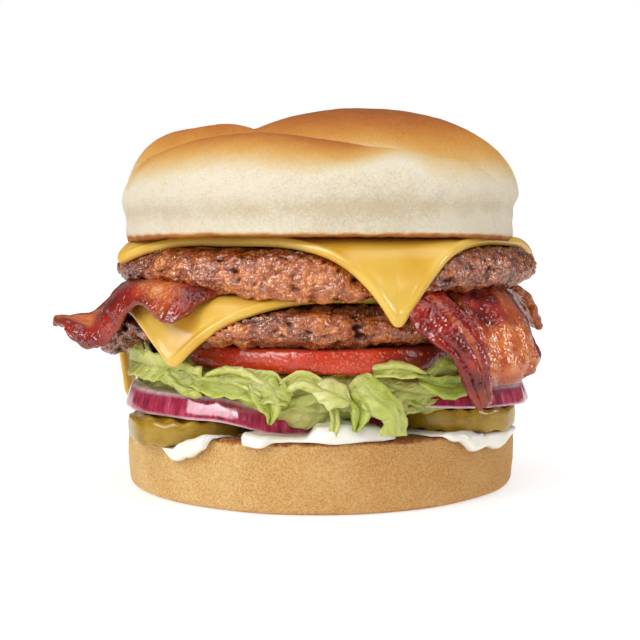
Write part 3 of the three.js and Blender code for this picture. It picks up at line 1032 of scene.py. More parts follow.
def line_distance(points: Array, path: Array) -> tuple[Array, Array]:
    """How far points lie from a line, and where along it the nearest place is.

    Args:
        points: Places, one line each.
        path: The line's own points.

    Returns:
        The distances, and the shares of the line's length.
    """
    best = np.full(len(points), np.inf)
    share = np.zeros(len(points))
    lengths = np.linalg.norm(np.diff(path, axis=0), axis=1)
    walked = np.concatenate([[0], np.cumsum(lengths)])
    for k, (start, end) in enumerate(zip(path[:-1], path[1:])):
        step = end - start
        t = np.clip((points - start) @ step / max(step @ step, 1e-9), 0, 1)
        gap = np.linalg.norm(points - start - t[:, None] * step, axis=1)
        closer = gap < best
        best = np.where(closer, gap, best)
        share = np.where(closer, (walked[k] + t * lengths[k]) / walked[-1], share)
    return best, share


@dataclass(frozen=True)
class Crease:
    """A line pressed into the bread."""

    path: tuple[tuple[float, float, float], ...]
    depth: float
    width: float
    start_fade: float = 0.12
    end_fade: float = 0.2

    def press(self, points: Array) -> tuple[Array, Array]:
        """Finds how the crease shapes a surface.

        Args:
            points: Places on the surface.

        Returns:
            How deep each place is pressed, and how near it is to the line, from 0 to 1.
        """
        gap, share = line_distance(points, curve_through(self.path, 40))
        strength = smoothstep(share, -0.01, self.start_fade) * (1 - smoothstep(share, 1 - self.end_fade, 1.01))
        return self.depth * (bell(gap, self.width) * strength), np.exp(-gap / (2.6 * self.width)) * strength


MAIN_CREASE = Crease(
    path=(
        (-54, 3, 76), (-51.3, -1, 81.9), (-47, -5, 84.9), (-38.9, -10, 89.2), (-31, -15, 91.4),
        (-21.6, -19, 92.5), (-2.5, -25, 92), (5.5, -27, 91), (12.7, -29.5, 89), (16.5, -33, 87),
    ),
    depth=2.2,
    width=0.95,
    end_fade=0.3,
)
SIDE_CREASE = Crease(path=((38, 6, 95.3), (43, 2, 92.5), (49, -5, 87), (51.5, -11, 81)), depth=0.8, width=0.7)


@dataclass
class Crown:
    """The folded top of the roll: a front fold with two lobes behind it."""

    base: float = 66.5
    radius: float = 54.0
    skirt_drop: float = 2.4
    waist_height: float = 73.0
    waist_depth: float = 1.1
    fold_top: float = 93.0
    big_top: float = 100.9
    left_top: float = 96.3
    dome: float = 32.0
    squareness: float = 4.5
    around: int = 390
    up: int = 112
    seed: int = 11
    finish: Crust = field(default_factory=Crust)

    # How brown the lobes are at each height, and the fold at each depth under its crest.
    LOBE_BAKE = (
        (78, 0), (80, 0.06), (82, 0.15), (84, 0.26), (86, 0.37), (88, 0.47), (91, 0.62), (95, 0.78), (98, 0.88),
        (101, 0.97),
    )
    FOLD_BAKE = ((-1, 0.92), (0, 0.88), (1.5, 0.8), (3.5, 0.65), (6, 0.42), (9, 0.2), (12, 0))

    def skirt(self, x: Array) -> Array:
        """The height of the cut edge, which droops at the sides."""
        return self.base - self.skirt_drop * (np.abs(x) / self.radius) ** 4

    def crease_line(self, x: Array) -> Array:
        """How far back the main crease runs at each distance to the right."""
        return -29 + 28 * (np.clip(12.7 - x, 0, 64) / 64) ** 1.6

    def ridge(self, x: Array) -> Array:
        """The height of the front fold's crest at each distance to the right."""
        to_right = 4.4 * (1 - bell(x + 20, 26))
        return self.fold_top - np.where(x < -20, 4.2 * ((x + 20) / 32) ** 2, to_right)

    def rise(self, x: Array, y: Array) -> Array:
        """The crown's height before its edge is rounded.

        Args:
            x: Distances to the right.
            y: Distances to the back.

        Returns:
            The heights.
        """
        crease = self.crease_line(x)
        fold = self.ridge(x) - np.where(y < crease, 0.004, 0.12) * (y - crease) ** 2
        fall = (np.maximum(0, 5 - y) / 34) ** 2
        big = self.big_top - np.where(x < 10, 0.0075, 0.0038) * (x - 10) ** 2 - 15 * fall / (1 + 0.28 * fall)
        big = big - 0.0022 * np.maximum(0, y - 8) ** 2
        left = self.left_top - 0.02 * np.maximum(0, x + 27) ** 2 - 6 * np.maximum(0, 1 - (y - crease) / 9) ** 2
        left = left - 0.0018 * np.maximum(0, y - 14) ** 2
        return smooth_max(smooth_max(big, left, 1.2), fold, 0.8)

    def steps(self) -> Array:
        """Spaces the rings evenly along the surface.

        Returns:
            Angles from the rim to the middle of the top.
        """
        angle = np.linspace(0.0005, math.pi / 2 - 0.0002, 5000)
        reach, height = self.radius * np.cos(angle) ** 0.5, self.dome * np.sin(angle) ** (2 / self.squareness)
        walked = np.concatenate([[0], np.cumsum(np.hypot(np.diff(reach), np.diff(height)))])
        return np.interp(np.linspace(0, walked[-1], self.up), walked, angle)

    def outside(self) -> Array:
        """Shapes the crust.

        Returns:
            The rings from the rim up to the middle of the top.
        """
        angle = circle(self.around)
        step = self.steps()[:, None]
        height, inward = np.sin(step) ** (2 / self.squareness), np.cos(step) ** 0.5
        waist = 1 - 0.05 * (1 - smoothstep(height, 0.1, 0.5)) * (0.95 + 0.1 * np.cos(angle))
        reach = self.radius * inward * waist + 0.3 * uneven(angle, 0.7) * inward
        x, y = reach * np.cos(angle), reach * np.sin(angle)
        low = self.skirt(x)
        z = low + (self.rise(x, y) - low) * height
        groove = bell(z - self.waist_height - 1.2 * np.cos(angle + 0.6), 1.9)
        roll = bell(z - self.base - 0.6, 2.6)
        swell = 0.9 * roll - self.waist_depth * (0.55 + 0.45 * np.cos(angle - 0.3)) * groove
        return np.stack([x + swell * np.cos(angle), y + swell * np.sin(angle), z], -1)

    def underside(self) -> Array:
        """Shapes the cut face.

        Returns:
            The rings from its middle to the rim.
        """
        rim = self.outside()[0]
        share = np.concatenate([np.linspace(0.05, 0.9, 7), np.linspace(0.92, 0.995, 7)])[:, None]
        x, y = share * rim[:, 0], share * rim[:, 1]
        z = self.skirt(x / share) - 0.5 * smoothstep(share, 0.99, 0.9) + 0.6 * smoothstep(share, 0.97, 0.9)
        return np.stack([x, y, z], -1)

    def build(self) -> Piece:
        """Makes the crown.

        Returns:
            The finished piece.
        """
        under = self.underside()
        skin = ring_skin(np.concatenate([under, self.outside()]))
        grain = Grain(self.seed)
        points = skin.points
        is_under = each_point(np.repeat([1.0, 0.0], [len(under), self.up]), self.around, bottom=1)
        soft = 0.4 * grain.layered(points, 15, 3) + 0.12 * grain.layered(points + 40, 3.2, 3)
        crumbly = 0.35 * grain.layered(points, 1.8, 3)
        (deep, beside), (shallow, near_side) = (crease.press(points) for crease in (MAIN_CREASE, SIDE_CREASE))
        pressed, near = deep + shallow, np.maximum(beside, near_side)
        skin.push(np.where(is_under > 0, crumbly, soft) - pressed)
        skin.paint = self.colours(skin.points, is_under, near, grain)
        return skin.fit("crown_bread", self.finish.make(), Slot.BREAD, "crown")

    def colours(self, points: Array, is_under: Array, near: Array, grain: Grain) -> dict[str, Array]:
        """Works out where the crown is baked and toasted, and paints shade along the front of its main crease.

        Args:
            points: The crown's points.
            is_under: 1 on the cut face.
            near: How near each point is to a crease.
            grain: The crown's noise.

        Returns:
            The values to paint.
        """
        x, y, height = points[:, 0], points[:, 1], points[:, 2] + 1.2 * grain.layered(points, 12, 3)
        lobes = np.interp(height, *zip(*self.LOBE_BAKE))
        below = self.ridge(x) - height
        fold = np.interp(below, *zip(*self.FOLD_BAKE))
        behind = y - self.crease_line(x)
        lobes = lobes - 0.3 * np.exp(-np.maximum(behind, 0) / 3) * smoothstep(x, -12, 0) * smoothstep(30 - x, 0, 14)
        in_front = (1 - smoothstep(behind, -0.2, 0.5)) * (1 - smoothstep(x + 1.3 * np.maximum(below, 0), 8, 27))
        # Painted shade: a darker line on the fold's side of the main crease.
        bake = mix(lobes, fold, in_front) + 0.12 * near * in_front
        lip = self.skirt(x)
        brim = 1.2 + 1.6 * (np.abs(x) / self.radius) ** 3
        rim = 1 - smoothstep(points[:, 2] - lip + 0.3 * grain.layered(points, 3, 2), 0.2 * brim, brim)
        toast = np.maximum(0.85 * is_under, 0.9 * rim) + 0.15 * grain.value(points, 2)
        # Painted shade along the waist groove: the floured mottle, a real texture, is laid thicker there.
        floury = bell(points[:, 2] - self.waist_height - 1.2 * x / self.radius, 2.2)
        return {"bake": bake, "waist": floury, "toast": np.clip(toast * np.maximum(is_under, rim), 0, 1)}


@dataclass
class Heel:
    """The bottom of the roll, whose toasted cut edge shows above its porous side."""

    radius: float = 52.3
    height: float = 17.6
    foot: float = 50.4
    foot_rise: float = 2.2
    rim: float = 51.2
    rim_drop: float = 1.2
    around: int = 520
    seed: int = 23
    finish: Crumb = field(default_factory=Crumb)

    def profile(self) -> Array:
        """Draws the heel's side.

        Returns:
            Points from the foot up to the rim, as radius and height.
        """
        knots = [
            (self.foot, 0.0),
            (self.foot + 1.4, 0.7),
            (self.radius, self.foot_rise),
            (self.radius + 0.3, self.height / 2),
            (self.radius, self.height - self.rim_drop - 1.2),
            (self.radius - 0.3, self.height - self.rim_drop / 2),
            (self.rim, self.height),
        ]
        return curve_through(knots, 36)

    def build(self, pickle: "PickleChip") -> Piece:
        """Makes the heel.

        Args:
            pickle: The chip that presses into its front left edge.

        Returns:
            The finished piece.
        """
        angle = circle(self.around)
        lower, upper = np.linspace(0.1, 0.97, 5) * self.foot, np.linspace(0.985, 0.1, 16) * self.rim
        line = disc_section(self.profile(), lower, upper, 0, self.height)
        reach = line[:, :1] + 0.35 * uneven(angle, 1.3) * (line[:, :1] > self.foot - 1)
        skin = ring_skin(round_axis(reach, angle, line[:, 1:]))
        grain = Grain(self.seed)
        points = skin.points
        loose = smoothstep(points[:, 2], 0.2, 2.0)
        near_rim = smoothstep(points[:, 2], self.height - 2.4, self.height - 0.6)
        pores = 0.14 * grain.layered(points, 1.2, 2) + 0.3 * grain.layered(points, 7, 3)
        ragged = 0.5 * grain.layered(points, 2.6, 3)
        skin.push(loose * (pores + near_rim * ragged))
        skin.points[:, 2] = np.minimum(skin.points[:, 2], pickle.underside(skin.points) - 0.15)
        edge = smoothstep(points[:, 2] + 0.9 * grain.layered(points, 3, 3), self.height - 1.5, self.height - 0.3)
        # Painted shade: the side darkens towards the right, away from the key light; its amount is painted as
        # browned.
        to_right = smoothstep(points[:, 0] + 5 * grain.layered(points, 20, 2), -50, 25)
        foot = 0.5 * smoothstep(1.6 - points[:, 2] + 0.8 * grain.layered(points + 9, 4, 3), 0, 1.4)
        skin.paint = {"toast": np.maximum(0.7 * edge, foot), "browned": 0.42 * to_right}
        return skin.fit("heel_bread", self.finish.make(), Slot.BREAD, "heel")


# ---------- beef and cheese ----------


@dataclass
class Patty:
    """A seared disc of coarse ground beef."""

    name: str
    x: float
    y: float
    width: float
    depth: float
    base: float
    height: float
    seed: float
    droop: float = 0.0
    # How much darker the whole patty is painted.
    sear: float = 0.0
    lip: float = 0.0
    around: int = 640

    NOISE_SHIFT = 211.7  # keeps the places where the noise repeats away from the rim

    def hang(self, x: Array) -> Array:
        """How far the patty's left end hangs down at each distance to the right."""
        return self.droop * smoothstep(-x, 46, 58)

    def reach(self, angle: Array) -> Array:
        """How far the rim lies from the middle at each angle."""
        oval = 1 / np.hypot(np.cos(angle) / self.width, np.sin(angle) / self.depth)
        return oval + uneven(angle, self.seed)

    def build(self, material: Material, cover: "CheeseSlice") -> Piece:
        """Makes the patty.

        Args:
            material: The beef's finish.
            cover: The slice that lies on it, which its crumbs stay under.

        Returns:
            The finished piece.
        """
        angle = circle(self.around)
        side = curve_through([(0.88, -1), (0.975, -0.6), (1.0, 0.0), (0.965, 0.6), (0.89, 0.9), (0.78, 1)], 56)
        flat = np.linspace(0.1, 0.85, 6)
        line = disc_section(side, flat, flat[::-1] * 0.9, -1, 1)
        share, level = line[:, :1], line[:, 1:]
        reach = share * self.reach(angle)
        wave = 0.25 * uneven(2 * angle, self.seed) * (1 - level**2)
        x, y = self.x + reach * np.cos(angle), self.y + reach * np.sin(angle)
        lip = self.lip * lobe(angle, 270, 32) * smoothstep(share, 0.9, 0.98) * (1 - smoothstep(level, -0.2, 0.6))
        z = self.base + self.height / 2 + level * self.height / 2 + wave - self.hang(x) - lip
        skin = ring_skin(np.stack([x, y, z], -1))
        grain = Grain(int(self.seed * 10))
        points = skin.points + self.NOISE_SHIFT
        warped = points + 1.2 * np.stack([grain.value(points + 9 * k, 2.4) for k in range(3)], -1)
        gap, _, owner = grain.crumbs(warped * (0.75, 0.75, 1.2), 2.7)
        small_gap, _, small_owner = grain.crumbs(warped + 50, 1.2)
        clump = grain.layered(points * (0.7, 0.7, 1.2), 8, 4, 0.6)
        ridge = 1 - 2 * np.abs(grain.layered(points * (0.7, 0.7, 1.1) + 80, 3.4, 4, 0.6))
        strands = 1 - 2 * np.abs(grain.layered(warped * (0.5, 0.5, 1.3) + 140, 1.7, 2))
        fine = 0.95 * (0.5 - gap**2) + 0.6 * (0.5 - small_gap) + 0.5 * ridge + 0.35 * strands - 0.15
        edge = 1 - smoothstep(each_point(level, self.around, -1, 1), -0.95, -0.35)
        ragged = 1.5 * grain.layered(points + 33, 3.1, 3) * edge
        skin.push(fine + 0.95 * clump - 0.35 + ragged)
        skin.points = cover.confine(skin.points)
        # Painted shade: the crevices between crumbs are painted near black.
        depth = fine - 0.15 + 0.25 * clump
        shade = 0.5 + 0.1 * owner + 0.15 * small_owner + 0.34 * grain.layered(points + 21, 13, 4) + 0.2 * fine
        right, up = skin.points[:, 0], (skin.points[:, 2] + self.hang(skin.points[:, 0]) - self.base) / self.height
        # Painted light and shade: lighter across the front middle, darker towards the right side.
        shade += 0.12 * bell(right + 6, 26) - 0.1 * smoothstep(right, 20, 42)
        # Painted shadow under the cheese, partly scorching: darker near the top, and the whole patty darker by its
        # set amount.
        shade -= self.sear + 0.16 * smoothstep(up, 0.55, 0.9)
        # The crumb paint holds the crumb tone together with the painted light and shade above.
        skin.paint = {
            "crumb": np.clip(shade, 0, 1),
            "hollow": smoothstep(-depth, -0.25, 0.45) * 0.95,
            "grey": np.clip(edge * (0.6 + 0.8 * grain.layered(points + 5, 6, 2)), 0, 1),
        }
        return skin.fit(self.name + "_beef", material, Slot.BEEF, self.name)


@dataclass(frozen=True)
class Corner:
    """How one corner of a slice hangs: its steepest slope in degrees, and how far it has run on by melting."""

    steepest: float
    run: float = 1.0


@dataclass
class CheeseSlice:
    """A square slice that lies on a patty and bends down over its edge."""

    name: str
    x: float
    y: float
    turn: float
    bed: float
    patty: Patty
    right: Corner
    back: Corner
    left: Corner
    front: Corner
    side: float = 88.0
    thickness: float = 2.2
    clearance: float = 1.1
    rounding: float = 3.2
    per_side: int = 56
    pace: float = 0.25
    seed: int = 37

    CORNER_CUT = 0.414  # how far a rounded corner lies inside a sharp one, against its rounding

    def outline(self) -> tuple[Array, Array, Array, Array]:
        """The flat slice's edge round the patty's middle.

        Returns:
            The distances to the right and to the back, the steepest slope in radians, and the run.
        """
        corners = [self.right, self.back, self.left, self.front]
        step = np.arange(self.per_side)
        share = (1 - np.cos(math.pi * step / self.per_side)) / 2
        parts = []
        for k, corner in enumerate(corners):
            following = corners[(k + 1) % 4]
            heading = math.radians(self.turn) + k * math.pi / 2
            ax, ay = self.side / math.sqrt(2) * math.cos(heading), self.side / math.sqrt(2) * math.sin(heading)
            x = self.x - self.patty.x + mix(ax, -ay, share)
            y = self.y - self.patty.y + mix(ay, ax, share)
            slope = np.radians(mix(corner.steepest, following.steepest, share))
            away = self.side * np.minimum(share, 1 - share) / self.rounding
            cut = self.CORNER_CUT * self.rounding / (self.side / math.sqrt(2))
            pull = 1 - cut * (1 - np.minimum(away, 1)) ** 2
            x, y = mix(self.x - self.patty.x, x, pull), mix(self.y - self.patty.y, y, pull)
            run = 1 + (corner.run - 1) * (1 - smoothstep(share, 0, 0.45))
            run = run + (following.run - 1) * smoothstep(share, 0.55, 1)
            parts.append((x, y, slope, run))
        return tuple(np.concatenate(column) for column in zip(*parts))

    def walk(self, shares: Array) -> tuple[Array, Array, Array, Array]:
        """Follows the slice from its middle out over the patty's edge.

        Args:
            shares: Where to stop, as shares of the way to the slice's edge.

        Returns:
            The heading of each line, and the radius, drop and slope at each stop.
        """
        x, y, steepest, run = self.outline()
        heading, reach = np.arctan2(y, x), np.hypot(x, y)
        rim = self.patty.reach(heading) + self.clearance
        pace = self.pace
        steps = int(reach.max() / pace) + 2
        trail = np.zeros((3, steps, len(x)))
        radius, drop, slope = np.zeros(len(x)), np.zeros(len(x)), np.zeros(len(x))
        for k in range(steps):
            trail[:, k] = radius, drop, slope
            slope = steepest * smoothstep(radius, 0.8 * rim, 1.03 * rim)
            step = np.where(radius > 0.95 * rim, pace * (1 + (run - 1) * 4), pace)
            radius = radius + step * np.cos(slope)
            drop = drop + step * np.sin(slope)
        stops = shares[:, None] * reach[None, :] / pace
        low = np.minimum(np.floor(stops).astype(int), steps - 2)
        part = stops - low
        column = np.arange(len(x))[None, :]
        found = mix(trail[:, low, column], trail[:, low + 1, column], part)
        return heading, found[0], found[1], found[2]

    def confine(self, points: Array, margin: float = 0.3) -> Array:
        """Keeps the patty's crumbs under the slice and behind its hanging sides.

        Args:
            points: Places on the patty.
            margin: The gap to leave.

        Returns:
            The places, moved down or inward where they would come through.
        """
        headings, radius, drop, slope = self.walk(np.linspace(0.4, 1, 70))
        order = np.argsort(headings)
        reach = (radius - self.thickness / 2 * np.sin(slope))[:, order] - margin
        low = (self.bed + self.thickness / 2 * (1 - np.cos(slope)) - drop)[:, order] - margin
        patty = self.patty
        x, y, z = points[:, 0] - patty.x, points[:, 1] - patty.y, points[:, 2] + patty.hang(points[:, 0])
        away = np.hypot(x, y)
        column = np.searchsorted(headings[order], np.arctan2(y, x)) % len(headings)
        ceiling, wall = np.full(len(points), FAR), np.full(len(points), FAR)
        for k in np.unique(column):
            here = np.flatnonzero(column == k)
            ceiling[here] = np.interp(away[here], reach[:, k], low[:, k], right=FAR)
            wall[here] = np.interp(-z[here], -low[:, k], reach[:, k], right=FAR)
        beside = z < self.bed - 1.2
        pull = np.where(beside & (away > wall), wall / np.maximum(away, 1e-9), 1.0)
        z = np.where(beside, z, np.minimum(z, ceiling))
        return np.stack([patty.x + x * pull, patty.y + y * pull, z - patty.hang(points[:, 0])], -1)

    def build(self, material: Material) -> Piece:
        """Makes the slice.

        Args:
            material: The cheese's finish.

        Returns:
            The finished piece.
        """
        rounding = 1 - 0.02 * (1 - np.cos(np.linspace(0, math.pi / 2, 7)))[::-1]
        shares = np.concatenate([np.linspace(0.3, 0.6, 4), np.linspace(0.62, 0.975, 34), rounding])
        heading, radius, drop, slope = self.walk(shares)
        past = np.clip((shares - 0.98) / 0.02, 0, 1)[:, None]
        half = self.thickness / 2 * np.maximum(np.sqrt(1 - past**2), 0.05)
        grain = Grain(self.seed + len(self.name))
        place = np.stack([radius * np.cos(heading), radius * np.sin(heading), -drop], -1)
        sag = 0.35 * grain.layered(place, 14, 2) * smoothstep(shares, 0.6, 0.9)[:, None]
        bead = 0.35 * bell(shares - 0.972, 0.012)[:, None]

        def face(way: float) -> Array:
            """One side of the slice.

            Args:
                way: 1 for the upper side and -1 for the lower one.

            Returns:
                The side's rings.
            """
            lift = way * (half + bead * (way > 0)) + sag
            out = radius + lift * np.sin(slope)
            z = self.bed + self.thickness / 2 - drop + lift * np.cos(slope)
            x, y = self.patty.x + out * np.cos(heading), self.patty.y + out * np.sin(heading)
            return np.stack([x, y, z - self.patty.hang(x)], -1)

        skin = ring_skin(np.concatenate([face(-1), face(1)[::-1]]))
        return skin.fit(self.name + "_film", material, Slot.CHEESE, self.name)


# ---------- bacon ----------


@dataclass(frozen=True)
class Streak:
    """A band of fat: its middle and width as shares across a strip, its strength, and its stretch along the strip."""

    middle: float
    width: float
    strength: float = 1.0
    start: float = -1.0
    end: float = 2.0


@dataclass
class BaconStrip:
    """A fried strip through long rails, each from the end under the upper patty to the free end."""

    name: str
    rails: tuple[tuple[tuple[float, float, float], ...], ...]
    streaks: tuple[Streak, ...]
    seed: int
    ruffle: float = 0.0
    thickness: float = 1.9
    columns: int = 170
    rows: int = 54

    def surface(self, grain: Grain) -> Array:
        """The middle surface, from the front rail to the back one.

        Args:
            grain: The strip's noise.

        Returns:
            The points as rows, columns, and x, y and z.
        """
        rails = np.array(self.rails)
        lines = spline(rails.transpose(1, 0, 2), np.linspace(0, rails.shape[1] - 1, self.columns))
        middle = spline(lines.transpose(1, 0, 2), np.linspace(0, len(rails) - 1, self.rows))
        across = np.linspace(0, 1, self.rows)[:, None]
        along = np.linspace(0, 1, self.columns)[None, :]
        side = unit(np.cross(np.gradient(middle, axis=1), np.gradient(middle, axis=0)))
        free = smoothstep(along, 0.3, 0.6)
        wave = self.ruffle * np.sin(across * 3 * TURN + 2 * grain.value(middle, 11)) * free
        frill = 1.3 * (2 * np.abs(across - 0.5)) ** 6 * grain.layered(middle + 60, 4.2, 2) * free
        crinkle = 0.6 * grain.layered(middle, 8, 3) + 0.32 * grain.layered(middle + 30, 2.6, 2)
        torn = 0.7 * (2 * across - 1) * (2 * np.abs(across - 0.5)) ** 4 * grain.layered(middle + 90, 2.4, 3)
        outward = unit(np.gradient(middle, axis=0))
        return middle + side * (crinkle + wave + frill)[..., None] + outward * torn[..., None]

    def fat(self, across: Array, along: Array, points: Array, grain: Grain) -> Array:
        """Where the strip is fat rather than lean.

        Args:
            across: Shares across the strip.
            along: Shares along it.
            points: The places themselves.
            grain: The strip's noise.

        Returns:
            Values from 0 to 1.
        """
        drift = 0.07 * grain.layered(points, 16, 3) + 0.02 * grain.layered(points, 3, 2)
        total = np.zeros_like(across)
        for streak in self.streaks:
            gap = np.abs(across + drift - streak.middle) / (streak.width / 2)
            stops = (streak.start, streak.end)
            begun, ended = (smoothstep(along + drift, stop - 0.05, stop + 0.05) for stop in stops)
            total = np.maximum(total, streak.strength * (begun * (1 - ended)) * (1 - smoothstep(gap, 0.75, 1.25)))
        return np.clip(total + 0.2 * grain.layered(points, 2.4, 3) * (total > 0.05), 0, 1)

    def build(self, material: Material) -> Piece:
        """Makes the strip.

        Args:
            material: The bacon's finish.

        Returns:
            The finished piece.
        """
        grain = Grain(self.seed)
        middle = self.surface(grain)
        thick = self.thickness * (1 + 0.22 * grain.layered(middle + 70, 5, 3))
        skin = sheet_skin(middle, thick)
        fat = self.fat(skin.paint["v"], skin.paint["u"], skin.points, grain)
        skin.push(0.22 * fat + 0.14 * grain.layered(skin.points, 1.6, 2))
        skin.paint["fat"] = fat
        rim = np.maximum(np.abs(2 * skin.paint["v"] - 1), smoothstep(skin.paint["u"], 0.5, 1.0))
        skin.paint["crisp"] = smoothstep(rim + 0.1 * grain.layered(skin.points, 3, 3), 0.88, 1.02)
        return skin.fit(self.name + "_rasher", material, Slot.BACON, self.name)


# ---------- salad and sauce ----------


@dataclass
class TomatoSlice:
    """A thick round slice with its skin round the edge."""

    x: float = 1.0
    y: float = -14.5
    radius: float = 36.4
    base: float = 33.5
    thickness: float = 6.1
    around: int = 300
    seed: int = 51
    finish: RipeTomato = field(default_factory=RipeTomato)

    def edge(self, angle: Array | float) -> Array:
        """How far the slice reaches at each heading."""
        return self.radius + 0.5 * uneven(angle, 3.9)

    def build(self) -> Piece:
        """Makes the slice.

        Returns:
            The finished piece.
        """
        angle = circle(self.around)
        side = curve_through([(0.93, -1), (0.96, -0.97), (0.995, -0.7), (1.003, 0.1), (0.985, 0.9), (0.93, 1)], 26)
        flat = np.linspace(0.1, 0.9, 8)
        line = disc_section(side, flat, flat[::-1], -1, 1)
        height = self.base + (1 + line[:, 1:]) * self.thickness / 2
        skin = ring_skin(round_axis(line[:, :1] * self.edge(angle), angle, height, self.x, self.y))
        skin.push(0.18 * Grain(self.seed).layered(skin.points, 8, 3))
        share = each_point(line[:, 0], self.around)
        dim = 0.82 * smoothstep(skin.points[:, 0], 10, 26)
        skin.paint = {"cut": smoothstep(0.965 - share, 0, 0.02), "dim": dim}
        return skin.fit("tomato_slice", self.finish.make(), Slot.TOMATO, "tomato")


@dataclass
class WaterDrops:
    """Beads of water that sit on the tomato's skin."""

    tomato: TomatoSlice
    count: int = 260
    seed: int = 5
    finish: WaterBead = field(default_factory=WaterBead)

    def bead(self, middle: Array, outward: Array, size: float) -> Skin:
        """One flattened bead.

        Args:
            middle: Where it sits.
            outward: The skin's outward direction there.
            size: Its radius.

        Returns:
            The bead's closed skin.
        """
        across = unit(np.cross(outward, (0, 0, 1.0)))
        up = np.cross(across, outward)
        angle = circle(10)
        level = np.array([-0.35, 0.0, 0.3, 0.55, 0.72])[:, None]
        reach = np.array([0.7, 1.0, 0.88, 0.6, 0.25])[:, None]
        rings = (
            middle
            + size * (reach * np.cos(angle))[..., None] * across
            + size * (reach * np.sin(angle))[..., None] * up
            + size * (level * np.ones_like(angle))[..., None] * outward
        )
        return ring_skin(rings[:, ::-1])

    def build(self) -> Piece:
        """Makes all the beads as one piece.

        Returns:
            The finished piece.
        """
        draw = np.random.default_rng(self.seed)
        beads = []
        for _ in range(self.count):
            heading = math.radians(draw.uniform(205, 335) if draw.uniform() < 0.5 else draw.normal(277, 9))
            size = 0.16 + 0.5 * float(draw.uniform()) ** 2.4
            level = float(draw.uniform(0.15, 0.9))
            outward = np.array([math.cos(heading), math.sin(heading), 0.0])
            reach = self.tomato.edge(heading) + 0.05
            middle = np.array([self.tomato.x, self.tomato.y, self.tomato.base + level * self.tomato.thickness])
            beads.append(self.bead(middle + reach * outward, outward, size))
        return gather(beads).fit("tomato_droplets", self.finish.make(), Slot.TOMATO)


@dataclass
class OnionRing:
    """A thick ring of red onion: skin outside, pale where it is cut."""

    name: str
    x: float
    y: float
    radius: float
    wall: float
    base: float
    height: float
    lean: float
    rise: float
    flare: float
    around: int = 300
    seed: int = 61

    def build(self, material: Material) -> Piece:
        """Makes the ring.

        Args:
            material: The onion's finish.

        Returns:
            The finished piece.
        """
        half = self.wall / 2
        knots = [
            (-half + 0.5, 0.0), (half - 0.6, 0.0), (half + 0.1, 0.08), (half + 0.25, 0.5), (half + 0.05, 0.93),
            (half - 0.6, 1.0), (-half + 0.5, 1.0), (-half, 0.85), (-half, 0.15), (-half + 0.5, 0.0),
        ]
        section = curve_through(knots, 40)[:-1]
        angle = circle(self.around)
        out, up = section[:, :1], section[:, 1:]
        reach = self.radius - half + out + 0.5 * uneven(angle, self.radius) + self.flare * (1 - 2 * up)
        propped = self.rise * smoothstep(-self.x - reach * np.cos(angle), 8, 27)
        z = self.base + propped + self.lean * reach * np.cos(angle) + up * self.height
        skin = ring_skin(round_axis(reach, angle, z, self.x, self.y), False)
        grain = Grain(self.seed + len(self.name))
        heights = np.repeat(up[:, 0], self.around)
        sides = np.repeat(out[:, 0], self.around)
        skin.push(0.15 * grain.layered(skin.points, (2.5, 2.5, 14), 2) + 0.25 * grain.layered(skin.points, 10, 2))
        top_face = smoothstep(heights, 0.9, 0.97) + smoothstep(heights, 0.08, 0.03)
        inside = 0.75 * smoothstep(-sides, half - 0.9, half - 0.3)
        ragged = 0.25 * grain.layered(skin.points, (1.4, 1.4, 4), 2)
        skin.paint = {"cut": np.clip(np.maximum(top_face, inside) + ragged * (heights > 0.75), 0, 1)}
        return skin.fit(self.name + "_flesh", material, Slot.ONION, self.name)


@dataclass
class PickleChip:
    """A crinkle-cut pickle chip that leans outward."""

    name: str
    x: float
    y: float
    radius: float
    thickness: float
    base: float
    lean: float
    crinkle: float
    pitch: float = 4.6
    depth: float = 0.34
    bank: float = 1.3
    shadow: float = 7.0
    around: int = 220
    seed: int = 71

    def tilt(self, x: Array, y: Array) -> Array:
        """How much higher the chip lies at a place because it leans."""
        outward = math.atan2(self.y, self.x)
        return -self.lean * ((x - self.x) * math.cos(outward) + (y - self.y) * math.sin(outward))

    def underside(self, points: Array) -> Array:
        """The height of the chip's lower face over each place, which rises steeply beyond its rim.

        Args:
            points: Places on another piece.

        Returns:
            The heights.
        """
        away = np.hypot(points[:, 0] - self.x, points[:, 1] - self.y)
        low = self.base + self.tilt(points[:, 0], points[:, 1]) - self.depth
        return low + self.bank * np.maximum(0, away - self.radius - 0.8) + FAR * (away > self.radius + self.shadow)

    def build(self, material: Material) -> Piece:
        """Makes the chip.

        Args:
            material: The pickle's finish.

        Returns:
            The finished piece.
        """
        angle = circle(self.around)
        side = curve_through([(0.96, 0.0), (0.99, 0.12), (1.0, 0.5), (0.99, 0.88), (0.96, 1.0)], 14)
        flat = np.linspace(0.04, 0.94, 22)
        line = disc_section(side, flat, flat[::-1], 0, 1)
        reach = line[:, :1] * (self.radius + 0.25 * uneven(angle, self.radius * 3))
        x, y = self.x + reach * np.cos(angle), self.y + reach * np.sin(angle)
        across = x * math.cos(self.crinkle) + y * math.sin(self.crinkle)
        wave = self.depth * np.sin(TURN * across / self.pitch)
        z = self.base + self.tilt(x, y) + line[:, 1:] * self.thickness + wave
        skin = ring_skin(np.stack([x, y, z], -1))
        skin.push(0.12 * Grain(self.seed + len(self.name)).layered(skin.points, 4, 3))
        share = each_point(line[:, 0], self.around)
        skin.paint = {"rind": smoothstep(share, 0.9, 0.985) * 0.6}
        return skin.fit(self.name + "_chip", material, Slot.PICKLE, self.name)


